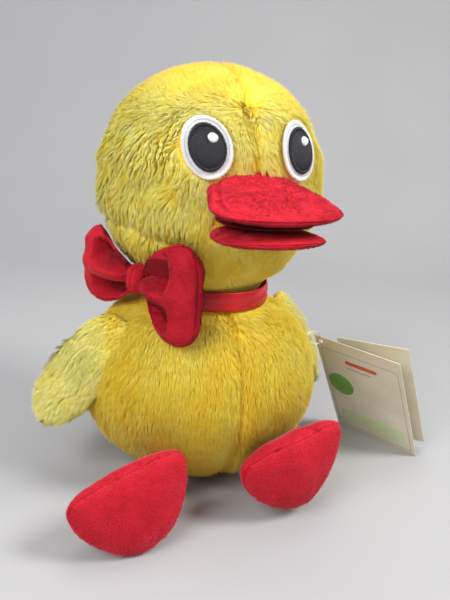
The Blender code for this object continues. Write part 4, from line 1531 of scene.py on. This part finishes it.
def make_label():
    """A tape folded at its far end, both of its ends sewn into the back, with a slight curl."""
    near, far = LABEL_REACH
    line = [(y, 0.55) for y in np.linspace(near, far - 0.6, 14)]
    line += [(far - 0.6 + 0.75 * math.cos(a), 0.75 * math.sin(a)) for a in np.linspace(1.3, -1.3, 7)]
    line += [(y, -0.55) for y in np.linspace(far - 0.6, near, 14)]
    tape = bmesh.new()
    rows = []
    for x in np.linspace(-LABEL_HALF_WIDTH, LABEL_HALF_WIDTH, 9):
        curl = 0.9 * (x / LABEL_HALF_WIDTH) ** 2
        row = []
        for y, z in line:
            share = (y - near) / (far - near)
            raised = z + share * (curl + 0.8 * math.sin(4.0 * share))
            row.append(tape.verts.new((x * MM, y * MM, raised * MM)))
        rows.append(row)
    for near_row, far_row in zip(rows, rows[1:]):
        for k in range(len(line) - 1):
            tape.faces.new((near_row[k], near_row[k + 1], far_row[k + 1], far_row[k]))
    mesh = mesh_of(tape, "care_label_tape")
    mesh.transform(turn_matrix(LABEL_PLACE, turned(LABEL_TURN)))
    mesh.shade_smooth()
    piece = add_object("care_label_tape", mesh, label_material())
    wall = piece.modifiers.new("wall", "SOLIDIFY")
    wall.thickness = 0.25 * MM
    wall.offset = 0.0
    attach(piece, "torso")
    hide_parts("care_label")


make_tag()
make_label()


# Floor and light

def stage_material(name, colour):
    made, shader = principled(name, colour, 0.9)
    toned(made, shader, tuple(0.97 * c for c in colour), colour, noise_of(made, 6.0))
    return made


def make_stage():
    """A pale floor that curves up into a backdrop behind the duck, as seen by the camera."""
    profile = [(-1.6, 0.0), (0.55, 0.0)]
    for index in range(1, 13):
        angle = 0.5 * math.pi * index / 12
        profile.append((0.55 + 0.5 * math.sin(angle), 0.5 - 0.5 * math.cos(angle)))
    profile.append((1.05, 2.2))
    sheet = bmesh.new()
    rows = []
    for along, height in profile:
        rows.append([sheet.verts.new((across, along, height)) for across in (-2.5, 2.5)])
    for near, far in zip(rows, rows[1:]):
        sheet.faces.new((near[0], near[1], far[1], far[0]))
    mesh = mesh_of(sheet, "floor")
    mesh.shade_smooth()
    floor = add_object("floor", mesh, stage_material("floor_paper", (0.45, 0.45, 0.46)))
    floor.rotation_euler[2] = math.radians(CAMERA_HEADING)


def add_lamp(name, place, target, size, power, colour=(1.0, 1.0, 1.0)):
    data = bpy.data.lights.new(name, "AREA")
    data.shape = "DISK"
    data.size = size
    data.energy = power
    data.color = colour
    lamp = bpy.data.objects.new(name, data)
    lamp.location = place
    lamp.rotation_euler = (Vector(target) - Vector(place)).to_track_quat("-Z", "Y").to_euler()
    bpy.context.scene.collection.objects.link(lamp)


def make_light():
    middle = (0.0, 0.0, 0.14)
    add_lamp("key_lamp", (0.75, -0.75, 1.15), middle, 0.55, 18.0, (1.0, 0.98, 0.95))
    add_lamp("fill_lamp", (-1.0, -0.7, 0.95), middle, 0.9, 17.0, (0.98, 0.99, 1.0))
    add_lamp("top_lamp", (0.0, 0.05, 1.0), middle, 0.5, 2.5)
    world = bpy.data.worlds.new("studio")
    world.use_nodes = True
    backdrop = world.node_tree.nodes["Background"]
    backdrop.inputs["Color"].default_value = (0.90, 0.91, 0.93, 1.0)
    backdrop.inputs["Strength"].default_value = 0.45
    bpy.context.scene.world = world


make_stage()
make_light()
bpy.context.scene.view_settings.view_transform = "Standard"
